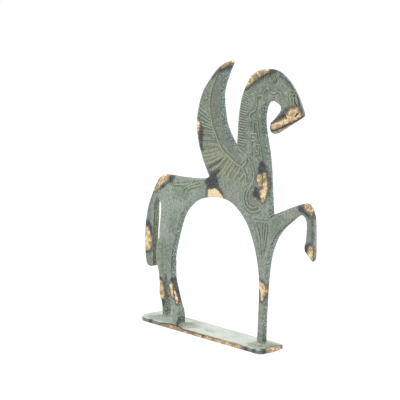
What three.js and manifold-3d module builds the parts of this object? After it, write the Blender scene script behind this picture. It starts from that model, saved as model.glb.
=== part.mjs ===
// A winged horse in the geometric style, cast flat in one piece and brazed by its three feet to a strip base.
// Millimetres, +Z up, +X towards the horse's muzzle, +Y towards its left side.
// The origin is the middle of the base's underside.
import * as THREE from "three";
import { mergeVertices } from "three/addons/utils/BufferGeometryUtils.js";
import Module from "manifold-3d";

const wasm = await Module();
wasm.setup();

// Base strip
const BASE_LENGTH = 103.5;
const BASE_WIDTH = 19;
const BASE_THICKNESS = 2.4;
const BASE_END_BULGE = 2;
const BASE_CORNER_RADII = { rightFar: 1.8, leftFar: 4, leftNear: 7, rightNear: 3.5 };
const BASE_EDGE_ROUND = 0.5;
const BASE_EDGE_STEPS = 2;

// Casting
const BODY_THICKNESS = 4.6;
const PARTING_WALL = 0.6;
const EDGE_ROUND = 0.8;
const EDGE_STEPS = 2;
const OUTLINE_STEP = 2.6;
const SMALLEST_EDGE = 0.03;
const SAME_PLACE = 1e-4;

// How far the casting thins towards the muzzle and raised hoof, the wing tip, and the standing foot
const FORWARD_THINNING = { from: 46, to: 72, loss: 0.5 };
const UPWARD_THINNING = { from: 125, to: 155, loss: 0.28 };
const FOOT_THINNING = { from: 60, to: 15, loss: 0.2 };

// Raised lines on both faces
const LINE_WIDTH = 0.8;
const LINE_HEIGHT = 0.45;
const LINE_SINK = 0.25;
const LINE_OVERRUN = 0.15;
const LINE_STEP = 4.5;
const WING_EDGE_SAMPLES = 60;

// Hind legs, which leave the flat of the casting and stand apart, each a little thicker at its foot
const LEG_TOP = 43;
const SPLAY_TOP = 36;
const FOOT_OFFSET = 4.4;
const FLARE_TOP = 16;
const THIGH_CUT = 27;

// Braze around each foot
const BRAZE_HEIGHT = 1.6;
const BRAZE_SPREAD = 1.1;
const BRAZE_SIDES = 12;
const BRAZED_FEET = [
  { x: 42.7, y: 0, reach: 2.6 },
  { x: -40.4, y: FOOT_OFFSET, reach: 2 },
  { x: -20, y: -FOOT_OFFSET, reach: 3 },
];
const BRAZE_REACH_ACROSS = 1.9;

// The outline of the flat casting, seen with the muzzle to the right: x forward, y up from the top of the base.
// Each entry is one smooth edge through the few points that its shape needs, and the edges meet at corners.
const OUTLINE = {
  archUnderBelly: [
    [39.7, 0], [40.3, 6], [41.4, 33], [40.8, 41], [39.1, 50], [36.5, 57.5], [33.2, 64.2], [29.2, 69.2],
    [24.8, 73], [20, 75.7], [14.5, 77.1], [8, 77.2], [0, 76.2], [-8, 73.8], [-15, 69.2], [-19.7, 63.9],
    [-23.4, 55.7], [-26.2, 47], [-28.4, 38], [-28.9, THIGH_CUT],
  ],
  thighEnd: [[-28.9, THIGH_CUT], [-41.2, THIGH_CUT]],
  thighBack: [[-41.2, THIGH_CUT], [-41.3, 36], [-40.1, 52], [-38.7, 63], [-38.7, 68.5], [-41.2, 71.5]],
  tailFront: [[-41.2, 71.5], [-43.3, 68.2], [-43.7, 61], [-44.5, 50], [-44.9, 40], [-45.2, 30.2]],
  tailEnd: [[-45.2, 30.2], [-48.4, 29.2], [-50.9, 29.5], [-52.1, 31]],
  tailBack: [
    [-52.1, 31], [-52.9, 36], [-53.2, 44], [-52.6, 54], [-51.2, 61], [-49.1, 67.5], [-45.8, 74.5],
    [-42, 80.6], [-38.9, 84.4], [-35, 86], [-30.5, 86], [-20, 86], [-10, 86.3], [-3, 87], [0.7, 87.8],
    [2.2, 89],
  ],
  wingBack: [
    [2.2, 89], [-2.2, 97], [-6.2, 107], [-7.7, 117], [-6.2, 127], [-1.8, 137.5], [6.5, 147],
    [12.2, 151.2], [18.4, 153.4], [20, 152.5],
  ],
  wingFront: [
    [20, 152.5], [16.4, 146.2], [12.5, 137.5], [12, 131], [13.5, 121], [15.8, 115.6], [20.9, 108.5],
    [22.8, 107], [24.1, 107.7],
  ],
  crest: [
    [24.1, 107.7], [24.7, 114], [25.7, 125], [27.9, 134.7], [32.1, 143.3], [35.8, 147], [40.7, 149.2],
    [47.5, 150], [52.8, 149.2], [57.3, 147.1], [62.6, 142.8], [67.5, 136.7], [70.8, 129.8], [71.7, 127.4],
  ],
  forehead: [[71.7, 127.4], [71, 126.1], [60.6, 120.4], [53.9, 116.8], [51.2, 116], [49.4, 117]],
  lips: [[49.4, 117], [48.6, 119.2], [49.2, 122.2]],
  jaw: [[49.2, 122.2], [52.2, 124.6], [56.1, 129.2], [55.4, 131.4]],
  throat: [
    [55.4, 131.4], [50.5, 133.3], [45.9, 131.6], [43.7, 126.4], [43.6, 120], [45.4, 111], [46.9, 104.5],
    [47.9, 97], [48.6, 89], [49.2, 81], [49.9, 73],
  ],
  forearmTop: [[49.9, 73], [53, 73.8], [58, 76], [64, 78.6], [70, 80.9], [74.5, 82]],
  shin: [[74.5, 82], [77.4, 81.1], [79.3, 77.7], [80.4, 73.5], [80.9, 64], [80.8, 54.5], [80, 52.5]],
  hoofSole: [[80, 52.5], [78.6, 51.9], [73.5, 56.6]],
  shinBack: [[73.5, 56.6], [73.2, 59.4], [74.2, 62.4], [74.6, 70], [73.9, 73.5], [71.6, 75.2]],
  forearmUnder: [
    [71.6, 75.2], [69, 74.4], [63.8, 70.4], [58.6, 66.2], [53.4, 60.3], [49.9, 53], [48.4, 48], [47.4, 42],
    [46.6, 33], [45.8, 20], [45.2, 6], [45.4, 0],
  ],
};

// The two hind legs below the thigh, seen from the same side: the left one stands back, the right one forward.
const HIND_LEGS = {
  left: {
    side: 1,
    flare: 0.1,
    back: [
      [-40.8, LEG_TOP], [-42.5, 42.4], [-43.1, 40], [-43.3, 33], [-42.1, 27], [-42.4, 20], [-43.3, 14.5],
      [-41.9, 8.5], [-42.3, 0],
    ],
    front: [[-38.2, 0], [-37.2, 8], [-36.5, 14], [-36.6, 20], [-35.4, 26], [-33.4, LEG_TOP]],
  },
  right: {
    side: -1,
    flare: 0.3,
    back: [[-36, SPLAY_TOP], [-32.2, 26], [-29.6, 20], [-27.6, 14], [-25.2, 8], [-22.8, 0]],
    front: [
      [-17.2, 0], [-17.6, 4], [-18.5, 8.4], [-20.4, 11.6], [-24.5, 20], [-27.7, 29], [-28.5, SPLAY_TOP],
    ],
  },
};

// Raised lines: each list is one smooth line on the face, in the outline's coordinates.
const WING_RIB = [
  [8.5, 146.5], [5.6, 139.5], [4.1, 132], [4.1, 123], [6, 115.5], [10, 108], [14.5, 103.5],
  [21, 99.8], [28, 96], [31, 92],
];
const BARB_COUNT = 25;
const BARB_EDGE_GAP = 1.3;
const BARB_LONGEST = 40;
// The bearing of the barbs, in degrees, at shares of the rib's length from the wing's tip to the shoulder
const BARB_BEARINGS = [[0, 134], [0.45, 148], [0.6, 180], [0.75, 216], [1, 240]];
// From here to its end the rib carries short barbs, which stop on the shoulder
const FAN_START = 0.7;
const FAN_LONGEST = 9.5;
const FAN_SHORTEST = 5;
const SHOULDER_LINE = [
  [28.4, 106], [31, 103.4], [34.4, 100.9], [36.6, 97.8], [37.4, 94], [36.8, 90.6],
  [34.2, 87], [31.9, 83.4], [31, 79.4], [31.8, 75.8], [34.2, 73.2], [37.8, 72.2],
  [41.2, 73.1], [43, 75.2],
];
const SHOULDER_LINE_INNER = [
  [38.8, 89.6], [36, 85.4], [34.2, 82], [33.6, 79], [34.4, 76.4], [36.6, 74.9], [39.2, 75.1],
  [40.6, 76.8],
];
const SHOULDER_FORK = [[27, 96.9], [30.5, 98], [33.4, 100.9]];
const LEG_WEDGE_TOP = { z: 68.2, from: 37.4, to: 48 };
const LEG_WEDGE_POINT = [44, 49.5];
const LEG_WEDGE_LINES = 4;
const HAUNCH_LINES = [
  [[-24, 81], [-16, 82.3], [-8, 83.7], [-0.5, 84.7]],
  [[-18, 77.6], [-14.5, 79.8], [-8.5, 81.4], [-2, 83.2]],
];
const EAR_LINE = [[63.4, 138.2], [65, 134.6], [65.4, 131.8], [67.1, 131.3]];
const EYE = { x: 64.4, z: 127.6, radius: 0.95, sides: 6 };
const CHEEK_LINE = [[56.5, 128.6], [58, 126.2], [61.6, 124.2]];
const MANE = { count: 34, root: 1.2, lengthLow: 5.4, lengthHigh: 3 };
// The key pattern climbs the neck from the chest, and ends in a wave up to the cheek.
const KEY_SPINE = [[40.8, 101.6], [39.8, 107], [38.8, 112.4], [37.8, 121.6]];
const KEY_UNITS = 2;
const KEY_HALF_WIDTH = 3;
const KEY_LINK = 0.22;
const NECK_WAVE = [
  [35.2, 121.6], [34.5, 124.9], [38.6, 128.1], [39.3, 133.1], [41.1, 135.8], [43.8, 135.6], [46.6, 139.9],
  [49, 138.1], [52.2, 137.5], [55.5, 138.2], [57.8, 135.2],
];
// One turn of the key pattern: distance along the unit, and distance across in half widths
const KEY_TURN = [
  [0, -1], [0, 1], [0.78, 1], [0.78, -0.35], [0.3, -0.35], [0.3, 0.35], [0.54, 0.35],
];

const BRONZE = new THREE.MeshStandardMaterial({
  color: new THREE.Color(0.36, 0.41, 0.36),
  roughness: 0.75,
  metalness: 0.25,
});
const BASE_BRONZE = new THREE.MeshStandardMaterial({
  color: new THREE.Color(0.44, 0.48, 0.43),
  roughness: 0.8,
  metalness: 0.2,
});

const toVector = ([x, z]) => new THREE.Vector2(x, z);

// Points about OUTLINE_STEP apart along one smooth run, without its last point
function sampleRun(points, step = OUTLINE_STEP) {
  const curve = new THREE.SplineCurve(points.map(toVector));
  const pieces = Math.max(1, Math.ceil(curve.getLength() / step));
  return curve.getSpacedPoints(pieces).slice(0, -1);
}

// A three.js geometry as a manifold solid
function solid(geometry) {
  const bare = geometry.clone();
  for (const name of ["normal", "uv"]) bare.deleteAttribute(name);
  const merged = mergeVertices(bare, SAME_PLACE);
  return new wasm.Manifold(
    new wasm.Mesh({
      numProp: 3,
      vertProperties: merged.attributes.position.array,
      triVerts: new Uint32Array(merged.index.array),
    }),
  );
}

// A manifold solid as a three.js geometry
function geometryOf(made) {
  const { numProp, vertProperties, triVerts } = made.getMesh();
  const geometry = new THREE.BufferGeometry();
  const vertices = new THREE.InterleavedBuffer(new Float32Array(vertProperties), numProp);
  geometry.setAttribute("position", new THREE.InterleavedBufferAttribute(vertices, 3, 0));
  geometry.setIndex(new THREE.BufferAttribute(new Uint32Array(triVerts), 1));
  const plain = geometry.toNonIndexed();
  plain.computeVertexNormals();
  return plain;
}

// A closed outline cast as a plate whose edges round off towards both faces, standing in the XZ plane
function castPlate(outline, thickness) {
  const shape = new THREE.Shape(outline);
  const geometry = new THREE.ExtrudeGeometry(shape, {
    depth: PARTING_WALL,
    steps: 1,
    bevelEnabled: true,
    bevelThickness: (thickness - PARTING_WALL) / 2,
    bevelSize: EDGE_ROUND,
    bevelOffset: -EDGE_ROUND,
    bevelSegments: EDGE_STEPS,
  });
  geometry.translate(0, 0, -PARTING_WALL / 2);
  geometry.rotateX(Math.PI / 2);
  return geometry;
}

function figureOutline() {
  return Object.values(OUTLINE).flatMap((edge) => sampleRun(edge));
}

// One raised line segment from p to q, a low ridge standing on the face at that side
function ridge(p, q, side) {
  const along = new THREE.Vector3(q.x - p.x, 0, q.y - p.y);
  const length = along.length() + 2 * LINE_OVERRUN;
  along.normalize();
  const out = new THREE.Vector3(0, side, 0);
  const across = new THREE.Vector3().crossVectors(out, along);
  const section = new THREE.Shape([
    new THREE.Vector2(-LINE_WIDTH / 2, -LINE_SINK),
    new THREE.Vector2(LINE_WIDTH / 2, -LINE_SINK),
    new THREE.Vector2(0, LINE_HEIGHT),
  ]);
  const geometry = new THREE.ExtrudeGeometry(section, { depth: length, bevelEnabled: false });
  const place = new THREE.Matrix4().makeBasis(across, out, along);
  place.setPosition(
    p.x - along.x * LINE_OVERRUN,
    (side * BODY_THICKNESS) / 2,
    p.y - along.z * LINE_OVERRUN,
  );
  return solid(geometry.applyMatrix4(place));
}

// A smooth line through the points, as straight pieces about LINE_STEP long
function smoothLine(points) {
  const sampled = sampleRun(points, LINE_STEP);
  sampled.push(toVector(points.at(-1)));
  return sampled;
}

function pairs(points) {
  return points.slice(1).map((q, i) => [points[i], q]);
}

// Where a line from this point, at this bearing, comes close to the wing's back edge, or ends sooner
function reachToWingEdge(from, bearing, longest) {
  const edge = new THREE.SplineCurve(OUTLINE.wingBack.map(toVector)).getSpacedPoints(WING_EDGE_SAMPLES);
  const ray = new THREE.Vector2(Math.cos(bearing), Math.sin(bearing));
  let reach = longest;
  for (const [a, b] of pairs(edge)) {
    const side = b.clone().sub(a);
    const apart = a.clone().sub(from);
    const alongRay = apart.cross(side) / ray.cross(side);
    const alongSide = apart.cross(ray) / ray.cross(side);
    const crosses = alongRay > 0 && alongSide >= 0 && alongSide <= 1;
    if (crosses) reach = Math.min(reach, alongRay - BARB_EDGE_GAP);
  }
  return from.clone().addScaledVector(ray, reach);
}

function barbBearing(share) {
  const next = BARB_BEARINGS.findIndex(([at]) => at >= share);
  const [from, low] = BARB_BEARINGS[next - 1];
  const [to, high] = BARB_BEARINGS[next];
  return THREE.MathUtils.degToRad(THREE.MathUtils.mapLinear(share, from, to, low, high));
}

// The barbs leave the rib on one side: up and back near the tip, level half way, down over the shoulder
function barbLines() {
  const rib = new THREE.SplineCurve(WING_RIB.map(toVector));
  const lines = [];
  for (let i = 0; i < BARB_COUNT; i++) {
    const share = (i + 0.5) / BARB_COUNT;
    const root = rib.getPointAt(share);
    const onFan = share > FAN_START;
    const longest = onFan
      ? THREE.MathUtils.mapLinear(share, FAN_START, 1, FAN_LONGEST, FAN_SHORTEST)
      : BARB_LONGEST;
    lines.push([root, reachToWingEdge(root, barbBearing(share), longest)]);
  }
  return lines;
}

// Short strokes square to the crest of the neck, from the withers to the poll
function maneLines() {
  const crest = new THREE.SplineCurve(OUTLINE.crest.map(toVector));
  const lines = [];
  for (let i = 0; i < MANE.count; i++) {
    const share = (i + 1) / (MANE.count + 1);
    const at = crest.getPointAt(share);
    const tangent = crest.getTangentAt(share);
    const inward = new THREE.Vector2(tangent.y, -tangent.x);
    const length = THREE.MathUtils.lerp(MANE.lengthLow, MANE.lengthHigh, share);
    const root = at.clone().addScaledVector(inward, MANE.root);
    lines.push([root, root.clone().addScaledVector(inward, length)]);
  }
  return lines;
}

// The key pattern that runs up the middle of the neck
function keyLines() {
  const spine = new THREE.SplineCurve(KEY_SPINE.map(toVector));
  const place = (unit, [along, across]) => {
    const share = THREE.MathUtils.clamp((unit + along) / KEY_UNITS, 0, 1);
    const tangent = spine.getTangentAt(share);
    const side = new THREE.Vector2(tangent.y, -tangent.x);
    return spine.getPointAt(share).addScaledVector(side, across * KEY_HALF_WIDTH);
  };
  const lines = [];
  for (let unit = 0; unit < KEY_UNITS; unit++) {
    lines.push(...pairs(KEY_TURN.map((p) => place(unit, p))));
    if (unit > 0) lines.push([place(unit, [0, -1]), place(unit, [-KEY_LINK, -1])]);
  }
  return lines;
}

function wedgeLines() {
  const { z, from, to } = LEG_WEDGE_TOP;
  const point = toVector(LEG_WEDGE_POINT);
  const lines = [[new THREE.Vector2(from, z), new THREE.Vector2(to, z)]];
  for (let i = 0; i < LEG_WEDGE_LINES; i++) {
    const x = THREE.MathUtils.lerp(from, to, i / (LEG_WEDGE_LINES - 1));
    lines.push([new THREE.Vector2(x, z), point]);
  }
  return lines;
}

function eyeLines() {
  const ring = [];
  for (let i = 0; i <= EYE.sides; i++) {
    const angle = (2 * Math.PI * i) / EYE.sides;
    ring.push(
      new THREE.Vector2(
        EYE.x + EYE.radius * Math.cos(angle),
        EYE.z + EYE.radius * Math.sin(angle),
      ),
    );
  }
  return pairs(ring);
}

// The horse's right face carries the full pattern, and its left face the same without key, wedge and cheek.
function raisedLines(side) {
  const smooth = [WING_RIB, SHOULDER_LINE, SHOULDER_LINE_INNER, EAR_LINE, ...HAUNCH_LINES];
  const plain = [...smooth.flatMap((line) => pairs(smoothLine(line))), ...barbLines(), ...eyeLines()];
  if (side > 0) return [...plain, ...maneLines()];
  const detail = [SHOULDER_FORK, CHEEK_LINE, NECK_WAVE].flatMap((line) => pairs(smoothLine(line)));
  return [...plain, ...detail, ...maneLines(), ...keyLines(), ...wedgeLines()];
}

// 0 at the first value, 1 at the second, smooth between them
function smoothShare(value, from, to) {
  return from < to
    ? THREE.MathUtils.smoothstep(value, from, to)
    : 1 - THREE.MathUtils.smoothstep(value, to, from);
}

// Gives each point of a geometry a new y
function reshape(geometry, newY) {
  const position = geometry.attributes.position;
  for (let i = 0; i < position.count; i++) {
    position.setY(i, newY(position.getX(i), position.getY(i), position.getZ(i)));
  }
  return geometry;
}

// Thins a geometry across its thickness, as the casting thins towards its ends
function thin(geometry) {
  const kept = (value, { from, to, loss }) => 1 - loss * smoothShare(value, from, to);
  return reshape(
    geometry,
    (x, y, z) => y * kept(x, FORWARD_THINNING) * kept(z, UPWARD_THINNING) * kept(z, FOOT_THINNING),
  );
}

// One hind leg, leaning out from the thigh to its own side of the base
function hindLeg({ side, flare, back, front }) {
  const outline = [
    ...sampleRun(back),
    toVector(back.at(-1)),
    ...sampleRun(front),
    toVector(front.at(-1)),
  ];
  const leaning = reshape(castPlate(outline, BODY_THICKNESS), (x, y, z) => {
    const thickened = y * (1 + flare * smoothShare(z, FLARE_TOP, 0));
    return thickened + side * FOOT_OFFSET * Math.max(0, 1 - z / SPLAY_TOP);
  });
  return solid(leaning);
}

// The collar of braze that holds a foot: a low cone spreading on the base
function braze({ x, y, reach }) {
  const cone = new THREE.CylinderGeometry(1, 1, BRAZE_HEIGHT, BRAZE_SIDES);
  const position = cone.attributes.position;
  for (let i = 0; i < position.count; i++) {
    const spread = position.getY(i) < 0 ? BRAZE_SPREAD : 0;
    position.setX(i, position.getX(i) * (reach + spread));
    position.setZ(i, position.getZ(i) * (BRAZE_REACH_ACROSS + spread));
  }
  cone.rotateX(Math.PI / 2);
  cone.translate(x, y, BRAZE_HEIGHT / 2);
  return solid(cone);
}

function pegasusSolid() {
  const plate = solid(castPlate(figureOutline(), BODY_THICKNESS));
  const ridges = [1, -1].flatMap((side) => raisedLines(side).map(([p, q]) => ridge(p, q, side)));
  const casting = ridges.reduce((whole, line) => whole.add(line), plate);
  const thinned = solid(thin(geometryOf(casting.simplify(SMALLEST_EDGE))));
  const parts = [hindLeg(HIND_LEGS.left), hindLeg(HIND_LEGS.right), ...BRAZED_FEET.map(braze)];
  return parts.reduce((whole, part) => whole.add(part), thinned).simplify(SMALLEST_EDGE);
}

// One corner of the base, from the middle of an end to the start of a long side, for the corner at +X and +Y
function baseCorner(radius) {
  const half = BASE_WIDTH / 2;
  const straight = half - radius;
  const end = (y) => BASE_LENGTH / 2 - BASE_END_BULGE * (y / half) ** 2;
  const points = [];
  for (let i = 1; i <= 3; i++) points.push([end((straight * i) / 3), (straight * i) / 3]);
  for (let i = 1; i <= 4; i++) {
    const turn = (Math.PI / 2) * (i / 4);
    points.push([end(straight) - radius * (1 - Math.cos(turn)), straight + radius * Math.sin(turn)]);
  }
  return points;
}

// The strip base: parallel sides, ends that bulge a little, and corners each filed a little differently
function baseOutline() {
  const { rightFar, leftFar, leftNear, rightNear } = BASE_CORNER_RADII;
  const mirrored = (radius, signX, signY) =>
    baseCorner(radius).map(([x, y]) => [signX * x, signY * y]);
  const points = [
    [BASE_LENGTH / 2, 0],
    ...mirrored(rightFar, 1, 1),
    ...mirrored(leftFar, -1, 1).reverse(),
    [-BASE_LENGTH / 2, 0],
    ...mirrored(leftNear, -1, -1),
    ...mirrored(rightNear, 1, -1).reverse(),
  ];
  return points.map(toVector);
}

function baseGeometry() {
  const geometry = new THREE.ExtrudeGeometry(new THREE.Shape(baseOutline()), {
    depth: BASE_THICKNESS - 2 * BASE_EDGE_ROUND,
    bevelEnabled: true,
    bevelThickness: BASE_EDGE_ROUND,
    bevelSize: BASE_EDGE_ROUND,
    bevelOffset: -BASE_EDGE_ROUND,
    bevelSegments: BASE_EDGE_STEPS,
  });
  geometry.translate(0, 0, BASE_EDGE_ROUND);
  return geometry;
}

const statuette = new THREE.Group();

const base = new THREE.Mesh(baseGeometry(), BASE_BRONZE);
base.name = "base_plate";
statuette.add(base);

const pegasus = new THREE.Mesh(geometryOf(pegasusSolid()), BRONZE);
pegasus.name = "pegasus";
pegasus.position.z = BASE_THICKNESS;
statuette.add(pegasus);

export default statuette;
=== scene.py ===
import math
import random

import bmesh
import bpy
import numpy as np
from mathutils import Matrix, Vector, kdtree, noise


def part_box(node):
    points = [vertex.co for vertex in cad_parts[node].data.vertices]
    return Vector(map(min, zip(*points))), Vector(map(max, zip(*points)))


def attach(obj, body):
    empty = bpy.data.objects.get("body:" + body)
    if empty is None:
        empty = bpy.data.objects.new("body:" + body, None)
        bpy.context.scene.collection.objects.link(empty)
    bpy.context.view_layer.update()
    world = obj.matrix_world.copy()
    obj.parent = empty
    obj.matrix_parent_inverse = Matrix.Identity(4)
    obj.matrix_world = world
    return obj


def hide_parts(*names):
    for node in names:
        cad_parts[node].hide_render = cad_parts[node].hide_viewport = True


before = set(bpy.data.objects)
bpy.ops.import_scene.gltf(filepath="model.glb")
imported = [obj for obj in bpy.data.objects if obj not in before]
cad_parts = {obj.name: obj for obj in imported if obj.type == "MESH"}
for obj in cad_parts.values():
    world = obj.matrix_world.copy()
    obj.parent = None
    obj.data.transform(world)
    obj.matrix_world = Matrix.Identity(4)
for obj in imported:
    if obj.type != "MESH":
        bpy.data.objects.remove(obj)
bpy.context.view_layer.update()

# The camera
# A long lens looks at the horse's right face from ahead and a little above, as in the photograph.
# The place of the base's middle in the picture sets how far the lens looks to one side of it.
MM = 0.001
PHOTO_SIDE = 400
VIEW_AZIMUTH = math.radians(47)
VIEW_ELEVATION = math.radians(9.2)
LENS_PIXELS = 1200
PIXELS_PER_MM = 1.75
BASE_MIDDLE_PIXEL = (208.1, 329.3)
base_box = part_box("base_plate")
BASE_TOP = base_box[1][2]


def add_object(name, data):
    made = bpy.data.objects.new(name, data)
    bpy.context.collection.objects.link(made)
    return made


backward = Vector((
    math.sin(VIEW_AZIMUTH) * math.cos(VIEW_ELEVATION),
    -math.cos(VIEW_AZIMUTH) * math.cos(VIEW_ELEVATION),
    math.sin(VIEW_ELEVATION),
))
rightward = Vector((math.cos(VIEW_AZIMUTH), math.sin(VIEW_AZIMUTH), 0))
upward = backward.cross(rightward)
distance = LENS_PIXELS / PIXELS_PER_MM * MM
aside = (BASE_MIDDLE_PIXEL[0] - PHOTO_SIDE / 2) / LENS_PIXELS * distance
below = (BASE_MIDDLE_PIXEL[1] - PHOTO_SIDE / 2) / LENS_PIXELS * distance

camera_data = bpy.data.cameras.new("camera")
camera_data.sensor_width = 36
camera_data.lens = LENS_PIXELS * camera_data.sensor_width / PHOTO_SIDE
camera_data.clip_start = 0.01
camera = add_object("camera", camera_data)
camera.matrix_world = Matrix((rightward, upward, backward)).transposed().to_4x4()
camera.location = Vector((0, 0, BASE_TOP)) + distance * backward - aside * rightward + below * upward
bpy.context.scene.camera = camera

# The floor and the light
# A white table lit from below under a white sky, so that nothing throws a shadow, and three soft boxes.
FLOOR_SIDE = 40.0
FLOOR_GREY = (0.2, 0.2, 0.2, 1)
FLOOR_GLOW = 0.85
SKY_STRENGTH = 1.0
LIT_POINT = (0.01, 0, 0.08)
SOFT_BOXES = {
    "soft_box_left": {"from": (-0.45, -0.4, 0.65), "side": 0.3, "watts": 4.0},
    "soft_box_right": {"from": (0.8, 0.0, 0.35), "side": 0.4, "watts": 1.5},
    "soft_box_back": {"from": (0.3, 0.6, 0.6), "side": 0.4, "watts": 2.0},
}

bpy.context.scene.view_settings.view_transform = "Standard"
sky = bpy.data.worlds.new("white_sky")
sky.use_nodes = True
sky.node_tree.nodes["Background"].inputs["Color"].default_value = (1, 1, 1, 1)
sky.node_tree.nodes["Background"].inputs["Strength"].default_value = SKY_STRENGTH
bpy.context.scene.world = sky

for name, box in SOFT_BOXES.items():
    light = bpy.data.lights.new(name, "AREA")
    light.size = box["side"]
    light.energy = box["watts"]
    lamp = add_object(name, light)
    lamp.location = box["from"]
    aim = Vector(LIT_POINT) - lamp.location
    lamp.rotation_euler = aim.to_track_quat("-Z", "Y").to_euler()

floor_form = bmesh.new()
bmesh.ops.create_grid(floor_form, x_segments=1, y_segments=1, size=FLOOR_SIDE / 2)
floor_mesh = bpy.data.meshes.new("floor")
floor_form.to_mesh(floor_mesh)
floor_form.free()
floor = add_object("floor", floor_mesh)
floor_paint = bpy.data.materials.new("white_floor")
floor_paint.use_nodes = True
floor_shader = floor_paint.node_tree.nodes["Principled BSDF"]
floor_shader.inputs["Base Color"].default_value = FLOOR_GREY
floor_shader.inputs["Roughness"].default_value = 0.9
floor_shader.inputs["Specular IOR Level"].default_value = 0.0
floor_shader.inputs["Emission Color"].default_value = (1, 1, 1, 1)
floor_shader.inputs["Emission Strength"].default_value = FLOOR_GLOW
floor_mesh.materials.append(floor_paint)

# The base
# A strip of bronze plate sawn to length, its corners filed round by hand, each a little differently, and its
# ends left slightly bowed. Wiped patina lies pale on top, and the long near edge is rubbed to bare metal.
BASE_LENGTH = (base_box[1][0] - base_box[0][0]) / MM
BASE_WIDTH = (base_box[1][1] - base_box[0][1]) / MM
BASE_THICKNESS = (BASE_TOP - base_box[0][2]) / MM
BASE_END_BULGE = 2
BASE_CORNER_RADII = {"right_far": 1.8, "left_far": 4, "left_near": 7, "right_near": 3.5}
BASE_EDGE_ROUND = 0.5
BASE_CUTS = 1.2
ARC_POINTS = 9
SAME_PLACE = 1e-6
# No outline is felt further off than this, in millimetres
OUT_OF_REACH = 6
# The waviness of the top in millimetres: the size and height of its waves, and how far they lower the top
BASE_WAVES = [(7, 0.07), (2.4, 0.035)]
BASE_WAVE_DROP = 0.084
# Worn to bare metal, and dark beside it: outlines on the strip seen from above, in millimetres
BASE_BARE = [
    [
        (-31, -12), (-31.2, -9.3), (-28, -8.7), (-25, -7.9), (-19, -7.4), (-14.5, -8.2), (-10, -8.9),
        (5.2, -9), (5.7, -12),
    ],
    [(6.1, -12), (6.2, -9), (17, -8.9), (28, -8.8), (37, -8.7), (38, -12)],
    [(49.9, -5.4), (49, -2), (49.2, 4), (50, 6.5), (54, 6), (54, -5.4)],
]
BASE_DARK = [
    [(-41, -12), (-40.6, -8.8), (-39.4, -8.4), (-38.2, -9), (-38, -12)],
    [(-30, -12), (-29.5, -8.8), (-25, -7.4), (-19, -6.8), (-15, -7.6), (-11, -9), (-11, -12)],
    [(26.8, -12), (28, -8.6), (31, -8.3), (33, -8.9), (34, -12)],
    [(38.2, -12), (38.4, -8.8), (41, -8.9), (41.6, -12)],
    [(44.4, -12), (44.8, -8.7), (46.6, -8.4), (47.6, -12)],
    [(49, -8), (47.8, -6.4), (48.6, -4.6), (54, -5.6), (54, -8)],
    [(5.3, -12), (5.3, -9.1), (6.4, -9.1), (6.4, -12)],
]
# How bright the bare edge is along the strip
BASE_TONE_PLACES = [-34, -20, -9, 2, 24, 32, 38, 46]
BASE_TONES = [-0.35, -0.2, 0.15, 0.45, 0.5, 0.1, 0.1, 0.1]
# How much sooner the bare metal stops at the upper rim than at the lower, from the left to the middle
BASE_RIM_PLACES = [-25, 5]
BASE_RIM_KEPT = [0.8, 0.25]
# Scuffed through to a greener grey on top, and how far the scuffs wander in millimetres
SCUFF_SPREAD = 4.0
BASE_SCUFFS = [
    [(-13, 0.7), (-10, 1.7), (-6.5, 1.3), (-5.5, 0.2), (-8, -0.6), (-11.5, -0.2)],
    [(-2, -1.4), (1.6, -0.3), (5, -0.7), (6.2, -1.8), (2.6, -2.5), (-0.8, -2.2)],
    [(-48, -5), (-44, 2), (-38, 6.5), (-30, 4), (-26, -1), (-28, -6.5), (-38, -8)],
    [(-27, -8), (-25, -1), (-16, 3), (-9, 1), (-7, -3), (-10, -8), (-16, -9)],
    [(35, -4), (36, 3), (41, 7), (48, 7), (51, 3), (51, -5), (46, -8), (39, -7)],
]


def base_corner(radius):
    """The outline from the middle of an end round the corner at +X and +Y."""
    half = BASE_WIDTH / 2
    straight = half - radius
    across = np.linspace(0, straight, ARC_POINTS)
    end = BASE_LENGTH / 2 - BASE_END_BULGE * (across / half) ** 2
    turn = np.linspace(0, math.pi / 2, ARC_POINTS)[1:]
    bend = np.c_[end[-1] - radius * (1 - np.cos(turn)), straight + radius * np.sin(turn)]
    return np.vstack([np.c_[end, across], bend])


def geometry(form):
    return form.verts[:] + form.edges[:] + form.faces[:]


def cut_across(form, axis, spacing):
    """Cuts every face of the form along planes square to one axis, a spacing apart."""
    places = [vert.co[axis] for vert in form.verts]
    normal = Vector((0, 0, 0))
    normal[axis] = 1
    for place in np.arange(min(places) + spacing / 2, max(places), spacing):
        bmesh.ops.bisect_plane(
            form, geom=geometry(form), plane_co=normal * place, plane_no=normal, dist=1e-7
        )


def inset_rings(form, face, widths, rises):
    """Draws a face in and out again ring by ring, which rounds its rim."""
    for width, rise in zip(np.diff(widths), np.diff(rises)):
        bmesh.ops.inset_region(
            form,
            faces=[face],
            thickness=width * MM,
            depth=rise * MM,
            use_boundary=True,
            use_even_offset=True,
        )


def quarter_round(across, deep, rings):
    """Widths and rises of the rings that round a rim across by deep."""
    turn = np.linspace(0, math.pi / 2, rings + 1)
    return across * (1 - np.cos(turn)), deep * np.sin(turn)


def vertex_places(mesh):
    places = np.empty(len(mesh.vertices) * 3)
    mesh.vertices.foreach_get("co", places)
    return places.reshape(-1, 3) / MM


def set_vertex_places(mesh, places):
    mesh.vertices.foreach_set("co", (places * MM).ravel())
    mesh.update()


def vertex_normals(mesh):
    normals = np.empty(len(mesh.vertices) * 3)
    mesh.vertex_normals.foreach_get("vector", normals)
    return normals.reshape(-1, 3)


def roughness_at(places, size, seed):
    """Smooth seeded noise, from -1 to 1, with lumps of about this size in millimetres."""
    shift = Vector((seed * 17.3, seed * 5.1, seed * 9.7))
    return np.array([noise.noise(Vector(place) / size + shift) for place in places])


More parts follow.
